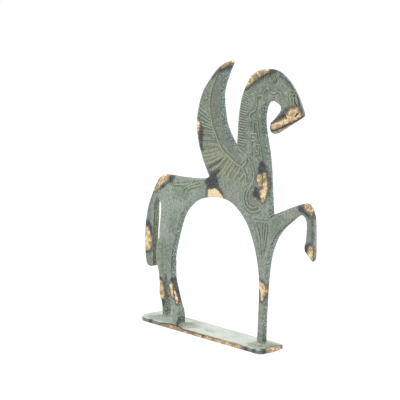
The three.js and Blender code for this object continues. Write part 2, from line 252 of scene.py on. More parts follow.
def depth_inside(places, outline):
    """How far each place lies inside a closed outline, below zero outside it."""
    outline = np.array(outline, dtype=float)
    nearest = np.full(len(places), np.inf)
    crossings = np.zeros(len(places), dtype=int)
    for start, end in zip(outline, np.roll(outline, -1, axis=0)):
        side = end - start
        away = places - start
        share = np.clip(away @ side / (side @ side), 0, 1)
        nearest = np.minimum(nearest, np.linalg.norm(away - share[:, None] * side, axis=1))
        spans = (start[1] > places[:, 1]) != (end[1] > places[:, 1])
        if side[1]:
            at = start[0] + side[0] * (places[:, 1] - start[1]) / side[1]
            crossings += spans & (places[:, 0] < at)
    return np.where(crossings % 2 == 1, nearest, -nearest)


def deepest(places, outlines):
    """The greatest depth inside any of the outlines."""
    depth = np.full(len(places), -float(OUT_OF_REACH))
    for outline in outlines:
        depth = np.maximum(depth, depth_inside(places, outline))
    return depth


def keep_on_vertices(mesh, name, values):
    mesh.attributes.new(name, "FLOAT", "POINT").data.foreach_set("value", values.astype(np.float32))


base_form = bmesh.new()
right_far = base_corner(BASE_CORNER_RADII["right_far"])
left_far = base_corner(BASE_CORNER_RADII["left_far"])[::-1] * (-1, 1)
left_near = base_corner(BASE_CORNER_RADII["left_near"])[1:] * (-1, -1)
right_near = base_corner(BASE_CORNER_RADII["right_near"])[:0:-1] * (1, -1)
base_outline = np.vstack([right_far, left_far, left_near, right_near])
base_face = base_form.faces.new([base_form.verts.new((x * MM, y * MM, 0)) for x, y in base_outline])
base_face.normal_update()
wall = BASE_THICKNESS / 2 - BASE_EDGE_ROUND
widths, rises = quarter_round(BASE_EDGE_ROUND, BASE_EDGE_ROUND, 4)
inset_rings(base_form, base_face, np.r_[0, widths], np.r_[0, rises + wall])
bmesh.ops.mirror(base_form, geom=geometry(base_form), axis="Z", merge_dist=SAME_PLACE)
bmesh.ops.translate(base_form, verts=base_form.verts[:], vec=(0, 0, BASE_TOP / 2))
cut_across(base_form, 0, BASE_CUTS * MM)
cut_across(base_form, 1, BASE_CUTS * MM)
bmesh.ops.recalc_face_normals(base_form, faces=base_form.faces[:])
strip_mesh = bpy.data.meshes.new("base_strip")
base_form.to_mesh(strip_mesh)
base_form.free()
strip_mesh.shade_smooth()

places = vertex_places(strip_mesh)
normals = vertex_normals(strip_mesh)
waves = sum(high * roughness_at(places, size, seed) for seed, (size, high) in enumerate(BASE_WAVES, 1))
on_top = places[:, 2] > BASE_THICKNESS / 2
places += normals * ((waves - BASE_WAVE_DROP) * on_top)[:, None]
set_vertex_places(strip_mesh, places)
kept_rim = np.interp(places[:, 0], BASE_RIM_PLACES, BASE_RIM_KEPT) * (places[:, 2] - BASE_EDGE_ROUND)
kept_rim[places[:, 0] > BASE_TONE_PLACES[-1]] = 0
keep_on_vertices(strip_mesh, "bare", deepest(places[:, :2], BASE_BARE) - kept_rim)
keep_on_vertices(strip_mesh, "dark", deepest(places[:, :2], BASE_DARK))
keep_on_vertices(strip_mesh, "scuff", deepest(places[:, :2], BASE_SCUFFS))
keep_on_vertices(strip_mesh, "tone", np.interp(places[:, 0], BASE_TONE_PLACES, BASE_TONES))

# Verdigris grown by acid and wiped back, burnt dark round the worn spots, and bare metal where it is rubbed
# through. The first four tones are the strip's own, and the casting wears the others too.
PATINA = {
    "wiped_pale": (0.44, 0.476, 0.412),
    "wiped_grey": (0.33, 0.37, 0.31),
    "wiped_side": (0.15, 0.18, 0.148),
    "scuff": (0.2, 0.235, 0.182),
    "hollow": (0.055, 0.068, 0.045),
    "speck_dark": (0.03, 0.045, 0.036),
    # Burnt metal, and the painted shadow at the casting's right foot
    "burnt_and_shadow": (0.018, 0.018, 0.024),
    "bloom": (0.13, 0.135, 0.16),
    "brown_edge": (0.2, 0.11, 0.05),
    "bare_dull": (0.28, 0.22, 0.14),
    "bare": (0.56, 0.42, 0.235),
    "bare_pale": (0.74, 0.59, 0.36),
    "pit": (0.14, 0.07, 0.03),
}
PATINA_ROUGHNESS = 0.6
BARE_POLISH = 0.2
BARE_METALLIC = 0.5
SHEEN = 0.3
# The noises that spread the tones: the size of their lumps in millimetres, their detail, and how they stretch
WORN_LUMPS = {
    "fine": (0.5, 3),
    "rim": (2, 2),
    "bloom": (0.9, 2, (1, 1, 1.6)),
    "pits": (0.8, 2),
    "blots": (1.2, 2),
    "clouds": (3.5, 2),
    "skin": (0.8, 4),
}
STRIP_LUMPS = {"streaks": (1.5, 3, (0.2, 1, 1)), "clouds": (9, 2), "spots": (0.5, 2)}
# How ragged the worn spots' rims are, in millimetres for each unit of the fine and the rim noise
RAGGED_FINE = 1.1
RAGGED_BROAD = 1.5
# The depths inside a worn spot, in millimetres, where each tone begins and where it is full
HALO_DEPTHS = (-1.3, -0.1)
BURNT_AND_SHADOW_DEPTHS = (-1.3, 1.1)
BROWN_DEPTHS = (-0.35, 0.05)
BARE_DEPTHS = (-0.05, 0.4)
BRIGHT_DEPTHS = (0.0, 1.3)
# Where ash, bloom and pits begin and are full, as values of their noise, and where the shine turns the bare
# metal bright and then pale
ASH_NOISE = (-0.05, 0.25)
BLOOM_NOISE = (0.02, 0.18)
PIT_NOISE = (0.1, 0.2)
BRIGHT_SHINE = (0.0, 0.55)
PALE_SHINE = (0.5, 1.0)
# How much of what is under it each tone hides
HALO_SHARE = 0.8
BURNT_AND_SHADOW_SHARE = 0.96
BLOOM_SHARE = 0.6
DARK_LINE_SHARE = 0.92
PIT_SHARE = 0.75
# What makes the bare metal brighter than its tone: the blots, the fine grain and the middle of the spot
BLOT_SHINE = 2.6
GRAIN_SHINE = 0.9
MIDDLE_SHINE = 0.5
SHINE_START = -0.28
# How high the skin's grain stands and how deep the pits lie, in millimetres
SKIN_BUMP = 0.18
PIT_BUMP = 0.05
# On the strip: how far the rim has turned from the top, and how deep a place lies in a scuff, where the tones
# begin and are full
RIM_TURN = (0.1, 0.45)
SCUFF_DEPTHS = (-1.5, 1.2)


class Shading:
    """A material's node tree, built by short calls."""

    def __init__(self, name):
        self.material = bpy.data.materials.new(name)
        self.material.use_nodes = True
        self.tree = self.material.node_tree
        self.shader = self.tree.nodes["Principled BSDF"]
        self.shader.inputs["Specular IOR Level"].default_value = 0.3
        self.shader.inputs["Sheen Roughness"].default_value = 0.4
        coordinates = self.node("ShaderNodeTexCoord")
        self.place = coordinates.outputs["Object"]
        self.normal = self.axes(coordinates.outputs["Normal"])

    def node(self, kind, **settings):
        made = self.tree.nodes.new(kind)
        for name, value in settings.items():
            setattr(made, name, value)
        return made

    def feed(self, socket, value):
        if isinstance(value, bpy.types.NodeSocket):
            self.tree.links.new(value, socket)
        elif isinstance(value, tuple):
            socket.default_value = (*value, 1)
        else:
            socket.default_value = value

    def axes(self, vector):
        """The X, Y and Z of a vector."""
        made = self.node("ShaderNodeSeparateXYZ")
        self.feed(made.inputs[0], vector)
        return made.outputs

    def math(self, operation, first, second=0.0, clamp=False):
        made = self.node("ShaderNodeMath", operation=operation, use_clamp=clamp)
        self.feed(made.inputs[0], first)
        self.feed(made.inputs[1], second)
        return made.outputs[0]

    def times(self, first, second):
        return self.math("MULTIPLY", first, second)

    def less(self, first, second):
        return self.math("SUBTRACT", first, second)

    def sum(self, *terms):
        total = terms[0]
        for term in terms[1:]:
            total = self.math("ADD", total, term)
        return total

    def lumps(self, size, detail=2.0, stretch=(1, 1, 1)):
        """Noise about zero, with lumps of this size in millimetres."""
        made = self.node("ShaderNodeTexNoise")
        mapped = self.node("ShaderNodeMapping")
        self.feed(mapped.inputs["Vector"], self.place)
        mapped.inputs["Scale"].default_value = stretch
        self.feed(made.inputs["Vector"], mapped.outputs[0])
        made.inputs["Scale"].default_value = 1 / (size * MM)
        made.inputs["Detail"].default_value = detail
        return self.less(made.outputs[0], 0.5)

    def noises(self, table):
        return {name: self.lumps(*lumps) for name, lumps in table.items()}

    def kept(self, name):
        return self.node("ShaderNodeAttribute", attribute_name=name).outputs["Fac"]

    def ramp(self, value, low, high):
        """0 below low, 1 above high, smooth between them."""
        made = self.node("ShaderNodeMapRange", interpolation_type="SMOOTHSTEP")
        self.feed(made.inputs["Value"], value)
        made.inputs["From Min"].default_value = low
        made.inputs["From Max"].default_value = high
        return made.outputs["Result"]

    def blend(self, share, under, over):
        made = self.node("ShaderNodeMix", data_type="RGBA")
        self.feed(made.inputs["Factor"], share)
        self.feed(made.inputs["A"], under)
        self.feed(made.inputs["B"], over)
        return made.outputs["Result"]

    def lay(self, under, tone, share, value):
        """Lays a tone over what is under it, by a share of a value from 0 to 1."""
        return self.blend(self.times(value, share), under, PATINA[tone])

    def tint(self, under, tone, share, value, low, high):
        """Lays a tone over what is under it, in as far as a value has gone from low to high."""
        return self.lay(under, tone, share, self.ramp(value, low, high))

    def bump(self, height, depth_mm, normal=None):
        made = self.node("ShaderNodeBump")
        made.inputs["Distance"].default_value = depth_mm * MM
        self.feed(made.inputs["Height"], height)
        if normal:
            self.feed(made.inputs["Normal"], normal)
        return made.outputs["Normal"]


def worn_bronze(metal, skin, tone, dark_lines):
    """Wears a skin of patina to burnt bronze, painted shadow and bare bronze, by the depths kept on the
    vertices.
    """
    noises = metal.noises(WORN_LUMPS)
    fine = noises["fine"]
    ragged = metal.sum(metal.times(fine, RAGGED_FINE), metal.times(noises["rim"], RAGGED_BROAD))
    bare_depth = metal.sum(metal.kept("bare"), ragged)
    dark_depth = metal.sum(metal.kept("dark"), ragged)

    halo = metal.times(metal.ramp(bare_depth, *HALO_DEPTHS), HALO_SHARE)
    # The dark depths give burnt metal, and at the casting's right foot a painted shadow.
    burnt_and_shadow = metal.math("MAXIMUM", halo, metal.times(metal.ramp(dark_depth, *BURNT_AND_SHADOW_DEPTHS), BURNT_AND_SHADOW_SHARE))
    burnt_and_shadow_tone = metal.tint(PATINA["burnt_and_shadow"], "hollow", 1.0, fine, *ASH_NOISE)
    burnt_and_shadow_tone = metal.tint(burnt_and_shadow_tone, "bloom", BLOOM_SHARE, noises["bloom"], *BLOOM_NOISE)
    colour = metal.blend(burnt_and_shadow, skin, burnt_and_shadow_tone)
    colour = metal.tint(colour, "brown_edge", 1.0, bare_depth, *BROWN_DEPTHS)

    bare = metal.ramp(bare_depth, *BARE_DEPTHS)
    pits = metal.ramp(noises["pits"], *PIT_NOISE)
    shine = metal.sum(
        tone,
        metal.times(metal.sum(noises["blots"], noises["clouds"]), BLOT_SHINE),
        metal.times(fine, GRAIN_SHINE),
        metal.times(metal.ramp(bare_depth, *BRIGHT_DEPTHS), MIDDLE_SHINE),
        SHINE_START,
    )
    bare_tone = metal.tint(PATINA["bare_dull"], "bare", 1.0, shine, *BRIGHT_SHINE)
    bare_tone = metal.tint(bare_tone, "bare_pale", 1.0, shine, *PALE_SHINE)
    bare_tone = metal.lay(bare_tone, "pit", PIT_SHARE, pits)
    colour = metal.blend(bare, colour, bare_tone)
    colour = metal.lay(colour, "burnt_and_shadow", DARK_LINE_SHARE, dark_lines)

    inputs = metal.shader.inputs
    dusty = metal.less(1.0, metal.math("MAXIMUM", bare, burnt_and_shadow))
    relief = metal.bump(noises["skin"], SKIN_BUMP)
    metal.feed(inputs["Base Color"], colour)
    metal.feed(inputs["Sheen Weight"], metal.times(dusty, SHEEN))
    metal.feed(inputs["Metallic"], metal.times(bare, BARE_METALLIC))
    metal.feed(inputs["Roughness"], metal.less(PATINA_ROUGHNESS, metal.times(bare, BARE_POLISH)))
    metal.feed(inputs["Normal"], metal.bump(metal.times(pits, -1.0), PIT_BUMP, relief))


wiped = Shading("wiped_patina")
streaks, clouds, spots = wiped.noises(STRIP_LUMPS).values()
edge = wiped.ramp(wiped.less(1.0, wiped.normal["Z"]), *RIM_TURN)
scuff = wiped.ramp(wiped.sum(wiped.kept("scuff"), wiped.times(clouds, SCUFF_SPREAD)), *SCUFF_DEPTHS)
top = wiped.tint(PATINA["wiped_grey"], "wiped_pale", 1.0, wiped.sum(streaks, clouds), -0.3, 0.12)
top = wiped.tint(top, "wiped_grey", 0.3, spots, 0.1, 0.3)
top = wiped.tint(top, "scuff", scuff, spots, -0.35, 0.05)
rim = wiped.tint(PATINA["wiped_side"], "speck_dark", 1.0, spots, 0.0, 0.25)
worn_bronze(wiped, wiped.blend(edge, top, rim), wiped.kept("tone"), 0.0)
strip_mesh.materials.clear()
strip_mesh.materials.append(wiped.material)

strip = add_object("base_strip", strip_mesh)
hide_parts("base_plate")
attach(strip, "root")

# The casting's form
# One flat sand casting in bronze: a winged horse about 4.6 mm thick, its edges drawn in to both faces from
# a parting line half way through. It thins towards the raised hoof and muzzle, the wing tip and the feet.
# Below the thighs the hind legs leave the flat and stand apart, one to each side of the strip.
BODY_THICKNESS = 4.6
PARTING_WALL = 0.6
EDGE_ROUND = 0.8
OUTLINE_STEP = 1.2
LINE_STEPS = 24
PLATE_CUTS = 5
SPLAY_TOP = 36
LEG_TOP = 47.3
FOOT_OFFSET = 4.4
THIGH_CUT = 27
VOXEL = 0.22
SOFTENING = 3
MOST_TRIANGLES = 185000
# Where the casting begins to thin and where it is thinnest, along x or z, and the share it loses
FORWARD_THINNING = (46, 72, 0.5)
UPWARD_THINNING = (125, 155, 0.28)
FOOT_THINNING = (60, 15, 0.2)

# Each edge of the outline is one smooth line, x forward and z up from the top of the base.
# The edges meet at corners.
OUTLINE = {
    "arch_under_belly": [
        (39.7, 0), (40.3, 6), (41.4, 33), (40.8, 41), (39.1, 50), (36.5, 57.5), (33.2, 64.2), (29.2, 69.2),
        (24.8, 73), (20, 75.7), (14.5, 77.1), (8, 77.2), (0, 76.2), (-8, 73.8), (-15, 69.2), (-19.7, 63.9),
        (-23.4, 55.7), (-26.2, 47), (-28.4, 38), (-28.9, THIGH_CUT),
    ],
    "thigh_end": [(-28.9, THIGH_CUT), (-41.2, THIGH_CUT)],
    "thigh_back": [(-41.2, THIGH_CUT), (-41.3, 36), (-40.1, 52), (-38.7, 63), (-38.7, 68.5), (-41.2, 71.5)],
    "tail_front": [(-41.2, 71.5), (-43.3, 68.2), (-43.7, 61), (-44.5, 50), (-44.9, 40), (-45.2, 30.2)],
    "tail_end": [(-45.2, 30.2), (-48.4, 29.2), (-50.9, 29.5), (-52.1, 31)],
    "tail_back": [
        (-52.1, 31), (-52.9, 36), (-53.2, 44), (-52.6, 54), (-51.2, 61), (-49.1, 67.5), (-45.8, 74.5),
        (-42, 80.6), (-38.9, 84.4), (-35, 86), (-30.5, 86), (-20, 86), (-10, 86.3), (-3, 87), (0.7, 87.8),
        (2.2, 89),
    ],
    "wing_back": [
        (2.2, 89), (-2.2, 97), (-6.2, 107), (-7.7, 117), (-6.2, 127), (-1.8, 137.5), (6.5, 147),
        (12.2, 151.2), (18.4, 153.4), (20, 152.5),
    ],
    "wing_front": [
        (20, 152.5), (16.4, 146.2), (12.5, 137.5), (12, 131), (13.5, 121), (15.8, 115.6), (20.9, 108.5),
        (22.8, 107), (24.1, 107.7),
    ],
    "crest": [
        (24.1, 107.7), (24.7, 114), (25.7, 125), (27.9, 134.7), (32.1, 143.3), (35.8, 147), (40.7, 149.2),
        (47.5, 150), (52.8, 149.2), (57.3, 147.1), (62.6, 142.8), (67.5, 136.7), (70.8, 129.8), (71.7, 127.4),
    ],
    "forehead": [(71.7, 127.4), (71, 126.1), (60.6, 120.4), (53.9, 116.8), (51.2, 116), (49.4, 117)],
    "lips": [(49.4, 117), (48.6, 119.2), (49.2, 122.2)],
    "jaw": [(49.2, 122.2), (52.2, 124.6), (56.1, 129.2), (55.4, 131.4)],
    "throat": [
        (55.4, 131.4), (50.5, 133.3), (45.9, 131.6), (43.7, 126.4), (43.6, 120), (45.4, 111), (46.9, 104.5),
        (47.9, 97), (48.6, 89), (49.2, 81), (49.9, 73),
    ],
    "forearm_top": [(49.9, 73), (53, 73.8), (58, 76), (64, 78.6), (70, 80.9), (74.5, 82)],
    "shin": [(74.5, 82), (77.4, 81.1), (79.3, 77.7), (80.4, 73.5), (80.9, 64), (80.8, 54.5), (80, 52.5)],
    "hoof_sole": [(80, 52.5), (78.6, 51.9), (73.5, 56.6)],
    "shin_back": [(73.5, 56.6), (73.2, 59.4), (74.2, 62.4), (74.6, 70), (73.9, 73.5), (71.6, 75.2)],
    "forearm_under": [
        (71.6, 75.2), (69, 74.4), (63.8, 70.4), (58.6, 66.2), (53.4, 60.3), (49.9, 53), (48.4, 48),
        (47.4, 42), (46.6, 33), (45.8, 20), (45.2, 6), (45.4, 0),
    ],
    "sole": [(45.4, 0), (39.7, 0)],
}
LEFT_HIND_LEG = [
    [
        (-41, LEG_TOP), (-42, 45.8), (-42.8, 43), (-43.1, 40), (-43.3, 33), (-42.5, 29.6), (-42.1, 27),
        (-42.4, 20), (-43.3, 14.5), (-43, 11), (-41.9, 8.5), (-41.9, 4), (-42.3, 0),
    ],
    [(-42.3, 0), (-38.2, 0)],
    [(-38.2, 0), (-37.2, 8), (-36.5, 14), (-36.6, 20), (-35.4, 26), (-33.4, SPLAY_TOP), (-33.4, LEG_TOP)],
    [(-33.4, LEG_TOP), (-41, LEG_TOP)],
]
RIGHT_HIND_LEG = [
    [(-36, SPLAY_TOP), (-32.2, 26), (-29.6, 20), (-27.6, 14), (-25.2, 8), (-22.8, 0)],
    [(-22.8, 0), (-17.2, 0)],
    [
        (-17.2, 0), (-17.6, 4), (-18.5, 8.4), (-20.4, 11.6), (-24.5, 20), (-26.8, 25), (-27.7, 29),
        (-28.5, SPLAY_TOP),
    ],
    [(-28.5, SPLAY_TOP), (-36, SPLAY_TOP)],
]
# How much thicker each hind leg is at its foot, which is spread by the brazing, and how far up it is so
FOOT_FLARES = {1: 0.1, -1: 0.3}
FLARE_TOP = 16
BRAZED_FEET = [(42.7, 0, 2.6), (-40.4, FOOT_OFFSET, 2), (-20, -FOOT_OFFSET, 3)]
# The rings of braze round a foot: height, and how far it spreads at the bottom and at the top
BRAZE_RINGS = [(0.7, 1.5, 0.5), (1.5, 0.8, 0), (2.6, 0.3, -0.3)]
BRAZE_ACROSS = 2.0


def smooth_line(points, step):
    """Points about one step apart on a smooth line through the given ones."""
    path = np.array([points[0], *points, points[-1]], dtype=float)
    share = np.linspace(0, 1, LINE_STEPS, endpoint=False)[:, None]
    stretches = []
    for before, start, end, after in zip(path, path[1:], path[2:], path[3:]):
        pull_in = (end - before) / 2
        pull_out = (after - start) / 2
        cubic = (2 * start - 2 * end + pull_in + pull_out) * share**3
        square = (-3 * start + 3 * end - 2 * pull_in - pull_out) * share**2
        stretches.append(cubic + square + pull_in * share + start)
    dense = np.vstack([*stretches, path[-1:]])
    run = np.r_[0, np.cumsum(np.linalg.norm(np.diff(dense, axis=0), axis=1))]
    even = np.linspace(0, run[-1], max(1, round(run[-1] / step)) + 1)
    return np.c_[np.interp(even, run, dense[:, 0]), np.interp(even, run, dense[:, 1])]


def smooth_share(value, start, end):
    share = min(1, max(0, (value - start) / (end - start)))
    return share * share * (3 - 2 * share)


def thickness_share(place, side):
    """How much of the full thickness the casting has at a place. Side is 0 on the body."""
    x, z = place.x / MM, (place.z - BASE_TOP) / MM
    if side:
        return 1 + FOOT_FLARES[side] * smooth_share(z, FLARE_TOP, 0)
    kept = 1
    for value, (start, end, loss) in ((x, FORWARD_THINNING), (z, UPWARD_THINNING), (z, FOOT_THINNING)):
        kept *= 1 - loss * smooth_share(value, start, end)
    return kept


def cast_plate(edges, side=0):
    """A closed plate of this outline, drawn in to both faces. A hind leg leans to its side."""
    form = bmesh.new()
    rim = np.vstack([smooth_line(edge, OUTLINE_STEP)[:-1] for edge in edges])
    face = form.faces.new([form.verts.new((x * MM, 0, z * MM + BASE_TOP)) for x, z in rim])
    face.normal_update()
    if face.normal.y > 0:
        face.normal_flip()
    widths, rises = quarter_round(EDGE_ROUND, (BODY_THICKNESS - PARTING_WALL) / 2, 5)
    inset_rings(form, face, np.r_[0, widths], np.r_[0, rises + PARTING_WALL / 2])
    bmesh.ops.mirror(form, geom=geometry(form), axis="Y", merge_dist=SAME_PLACE)
    cut_across(form, 0, PLATE_CUTS * MM)
    cut_across(form, 2, PLATE_CUTS * MM)
    for vert in form.verts:
        vert.co.y *= thickness_share(vert.co, side)
        vert.co.y += side * FOOT_OFFSET * max(0, MM - (vert.co.z - BASE_TOP) / SPLAY_TOP)
    bmesh.ops.recalc_face_normals(form, faces=form.faces[:])
    return form


def finished_mesh(form_object, name):
    """The object's mesh with its modifiers worked in."""
    shown = form_object.evaluated_get(bpy.context.evaluated_depsgraph_get())
    mesh = bpy.data.meshes.new_from_object(shown)
    mesh.name = name
    return mesh


rough_mesh = bpy.data.meshes.new("casting_rough")
whole = cast_plate(OUTLINE.values())
for leg, side in ((LEFT_HIND_LEG, 1), (RIGHT_HIND_LEG, -1)):
    leg_form = cast_plate(leg, side)
    leg_form.to_mesh(rough_mesh)
    whole.from_mesh(rough_mesh)
    leg_form.free()
for x, y, reach in BRAZED_FEET:
    for height, low, high in BRAZE_RINGS:
        bmesh.ops.create_cone(
            whole,
            cap_ends=True,
            segments=32,
            radius1=(reach + low) * MM,
            radius2=(reach + high) * MM,
            depth=height * MM,
            matrix=Matrix.Translation((x * MM, y * MM, BASE_TOP + height / 2 * MM))
            @ Matrix.Diagonal((1, (BRAZE_ACROSS + low) / (reach + low), 1, 1)),
        )
whole.to_mesh(rough_mesh)
whole.free()
casting = add_object("pegasus_casting", rough_mesh)
remesh = casting.modifiers.new("cast in one", "REMESH")
remesh.mode = "VOXEL"
remesh.voxel_size = VOXEL * MM
soften = casting.modifiers.new("soften", "SMOOTH")
soften.factor = 0.5
soften.iterations = SOFTENING
casting_mesh = finished_mesh(casting, "pegasus_casting")
casting.modifiers.clear()
casting.data = casting_mesh

# The relief
# Low lines cast with the body, soft from the sand: the wing's rib and barbs, the mane's short strokes, a key
# pattern up the neck, a double volute on the shoulder, a rayed wedge on the leg and small marks on the head.
# The right face has them all. The left one goes without the key pattern, the wedge and the forearm's line.
RELIEF_STEP = 0.1
# Over how many millimetres a line fades out, and how much of it is left at its very end
RELIEF_FADE = 0.9
RELIEF_END = 0.15
# The hollow beside a line: where it begins and is deepest, as shares of the line's half width, and its reach
# beyond that in millimetres
HOLLOW_START = 0.55
HOLLOW_FULL = 1.2
HOLLOW_REACH = 0.7
HOLLOW_DEPTH = 0.12
# A relief line lies on what faces the side by FACE_TILT at least, and stands full FACE_FADE beyond that
FACE_TILT = 0.35
FACE_FADE = 0.4
# The skin left by the sand, in millimetres: lumps and their height, the grain, and its share on the faces
SKIN_LUMPS = [(9, 0.07), (2.2, 0.03)]
SKIN_GRAIN = (0.8, 0.03)
GRAIN_ON_FACE = 0.35
SKIN_DROP = 0.06
WING_RIB = [
    (9.8, 146.6), (8.4, 144.6), (6.8, 141.8), (4.7, 136.8), (3.6, 132.4), (3.3, 127.6), (4.1, 123),
    (5.1, 119.1), (6.6, 115.2), (8.9, 111.6), (10.8, 108), (13.9, 104.1), (18.1, 101.6), (22.2, 99),
    (25.3, 97.5), (28.4, 96.2), (30.5, 94.4), (31.8, 91.6), (31.9, 88.6),
]
RIB_LINE = {"half": 0.75, "height": 0.34}
# The barbs of the upper wing leave the rib one after another, at bearings that turn with its height
BARB_LINE = {"half": 0.52, "height": 0.3}
BARB_PITCH = 1.6
BARB_FIRST = 1.2
BARB_LAST = 41
BARB_START = 0.4
BARB_EDGE_GAP = 0.5
BARB_HEIGHTS = [107, 112, 115, 118, 121, 130, 137, 146]
BARB_BEARINGS = [186, 184, 176, 162, 153, 143, 136, 130]
BARB_PIT = {"half": 0.6, "height": -0.2}
# The wing's edge is met where it passes this near a barb's line, at least this far from the rib
EDGE_NEAR = 0.3
EDGE_AHEAD = 0.5
# How unlike the barbs are: the turn of each in degrees, and its bend
BARB_TURN = 2.5
BARB_BEND = (-0.2, 0.35)
# Beside every other barb lies a shallow pit, which ends somewhere between the last two
PIT_START = 1.1
PIT_END = (2.4, 3.4)
# The feathers of the lower wing, from the wing's edge to the rib
FEATHER_LINE = {"half": 1, "height": 0.3, "beads": 0.35}
BEAD_PITCH = 1.1
FEATHERS = [
    [(-1.8, 105.9), (4.3, 106.7), (10.4, 107)],
    [(-1.6, 102.2), (3.3, 103), (11.3, 104.9)],
    [(-1.6, 99.6), (6, 101.4), (12.9, 103.9)],
    [(-0.5, 97.6), (6.5, 99.7), (13.9, 103)],
    [(0.6, 95.7), (7.6, 97.8), (14.9, 102)],
    [(4.1, 92.1), (10.2, 95.3), (16.8, 101)],
    [(9.4, 89.4), (13.9, 92.9), (19.2, 99.6)],
    [(13.9, 90.5), (17.1, 94.1), (21.4, 98.4)],
    [(17.8, 90.3), (20.7, 94.3), (23.8, 97.6)],
    [(22.3, 89.3), (25.2, 92.6), (27.6, 95.8)],
    [(26.6, 88.8), (29, 91.6), (30.6, 93.6)],
]
MANE_LINE = {"half": 0.5, "height": 0.36}
MANE_PITCH = 1.43
# Where the mane's strokes begin and end, in from the crest, at shares of the crest's length
MANE_SHARES = [0, 0.05, 0.35, 0.52, 0.62, 0.8, 1]
MANE_ROOTS = [0.7, 0.7, 0.7, 0.9, 2, 2.2, 2.2]
MANE_REACHES = [7.4, 7.4, 6.4, 6.2, 7, 6, 6]
MANE_END = 0.7
MANE_UNEVEN = 0.3
# The key and wave pattern from the chest up to the cheek
NECK_LINE = {"half": 0.62, "height": 0.3}
KEY_LINE = {"half": 0.52, "height": 0.34, "cornered": True}
KEY_PATTERN = [
    [(38.6, 111.5), (36, 111.5), (35.6, 107.5), (36.1, 103.2)],
    [(39, 109.7), (42.4, 109.7), (43.1, 106.1), (44, 101.4)],
    [(39.1, 109.7), (39.6, 106), (41.4, 106)],
    [(41.3, 108.4), (41.4, 104.6), (38.2, 104.2)],
    [(35.1, 115.6), (37.6, 116.3), (37.4, 121.4), (40.4, 121.4), (40.9, 117), (42.2, 112)],
    [(35, 111.9), (35, 115), (39.6, 115.4), (39.8, 112.8)],
    [(35.2, 122.2), (34.6, 118.4)],
]
NECK_PATTERN = [
    [
        (35.4, 122.4), (34.6, 123.6), (34.5, 124.9), (35.6, 126.3), (37.6, 127.3), (38.9, 128.1),
        (39.2, 129.2), (39.6, 130.9), (39.3, 133.1), (39.7, 134.7), (41.1, 135.8), (42.8, 135.9),
        (43.8, 135.2),
    ],
    [
        (43.9, 136.4), (45.1, 138.6), (46.6, 139.9), (48, 139.5), (49, 138.1), (50.5, 137.8), (52.2, 137.5),
        (53.7, 138.3), (55.5, 138.2), (56.9, 137.3), (57.8, 135.2),
    ],
]
SOFT_LINE = {"half": 0.68, "height": 0.32}
SHOULDER_LINES = [
    [
        (26.3, 106.2), (30.4, 103.8), (33.9, 101.4), (36.2, 98.6), (37.7, 95.4), (38, 92.4), (36.6, 89),
        (34.2, 86.7), (31.6, 84.7), (30.4, 81.8), (30.4, 78.7), (31.5, 75.7), (33.8, 73.6), (37, 72.8),
        (40.8, 73.7), (42.9, 75.2),
    ],
    [
        (37.9, 89.3), (35, 86), (32.9, 83.3), (32.2, 79.7), (33.2, 77.1), (35.4, 75.5), (38.4, 75.3),
        (41, 76.7),
    ],
    [(28.9, 96.6), (31.9, 99.6), (31.2, 102.8)],
    [(35.2, 83.4), (34.7, 80.8), (35.4, 78.5)],
]
HAUNCH_LINES = [
    [(-26.2, 81), (-21.1, 81.6), (-16, 82.3), (-11.8, 83.5)],
    [(-18.9, 78.6), (-16, 80.5), (-12.6, 82), (-8.5, 83.5), (-4.6, 84.6)],
    [(-15.5, 79), (-13.5, 80.2), (-10.1, 81.5), (-6.8, 82.3), (-3.5, 83.1)],
]
WEDGE_LINE = {"half": 0.52, "height": 0.32}
WEDGE_LINES = [
    [(37.2, 68.3), (42.5, 68.4), (48.6, 68.8)],
    [(37.6, 68.3), (40.4, 62.8), (42.6, 56.4), (43.7, 48)],
    [(39.4, 67.6), (41.6, 62.2), (43.5, 56.3)],
    [(43.8, 68.3), (43.8, 63.3), (44.4, 55.6)],
    [(46.2, 68.2), (45.7, 63.5), (44.9, 57.2)],
    [(48.1, 68.4), (47.5, 63.8), (46.4, 56.4), (44.8, 50.6)],
]
FOREARM_LINES = [[(49.8, 71.1), (52.1, 72.9), (56.2, 74.8), (60.9, 77.2), (65.6, 79.3)]]
HEAD_LINES = [
    [(53.4, 148), (56.6, 146.2), (60, 144), (63, 141.4)],
    [(62.9, 137.7), (62.5, 135.9), (63.5, 133.6), (63.6, 131.4)],
    [(65.2, 135.8), (65, 133.8), (65.4, 131.8)],
    [(62.6, 139.2), (63.8, 139.8), (65, 140)],
]
# Sunk marks on both faces: the line along the poll, the ear, the bars before it, jaw, nostril and mouth
SUNK_LINE = {"half": 0.45, "height": -0.35}
SUNK_MARKS = [
    [(64.4, 141.6), (65.5, 140.2), (66.7, 137.9), (67.9, 135.1), (68.7, 132.6), (68.9, 131.2)],
    [(65.2, 138.3), (65.5, 136.3), (65.7, 134), (66.6, 132.5), (67.7, 131.3)],
    [(63.2, 137.9), (65, 138.7)],
    [(63.7, 136.4), (65.3, 137.1)],
    [(53.5, 121.9), (54, 121.9)],
    [
        (50.6, 117.7), (53.1, 118.2), (55.2, 119), (57.4, 119.8), (59.5, 120.9), (62, 122), (64.4, 122.8),
        (67.1, 124.3), (69.9, 125.6), (71.2, 126.6),
    ],
    [(58.3, 124.6), (58.1, 125.8), (59.1, 126.8), (59.8, 126), (60.3, 124.8), (59.1, 124.3)],
    [(60.6, 126.4), (61.4, 127)],
    [(64.4, 128.8), (64.9, 128.8)],
    [(54.2, 145.9), (54.8, 145.6)],
    [(56.4, 144.9), (57, 144.6)],
    [(58.2, 143.8), (58.8, 143.3)],
]
DEEP_LINE = {"half": 0.65, "height": -0.45}
DEEP_MARKS = [[(66, 125.7), (66.8, 126.9), (68, 127.9), (68.6, 128.6)]]
# Shallow marks that a file left on the right face
GROOVE_LINE = {"half": 0.5, "height": -0.2, "beads": 0.5}
FILE_MARKS = [
    [(-36.5, 46), (-36.3, 40.6), (-36.2, 36)],
    [(45.8, 95.6), (45.8, 90.5), (45.6, 87.2), (44.2, 86.2)],
]


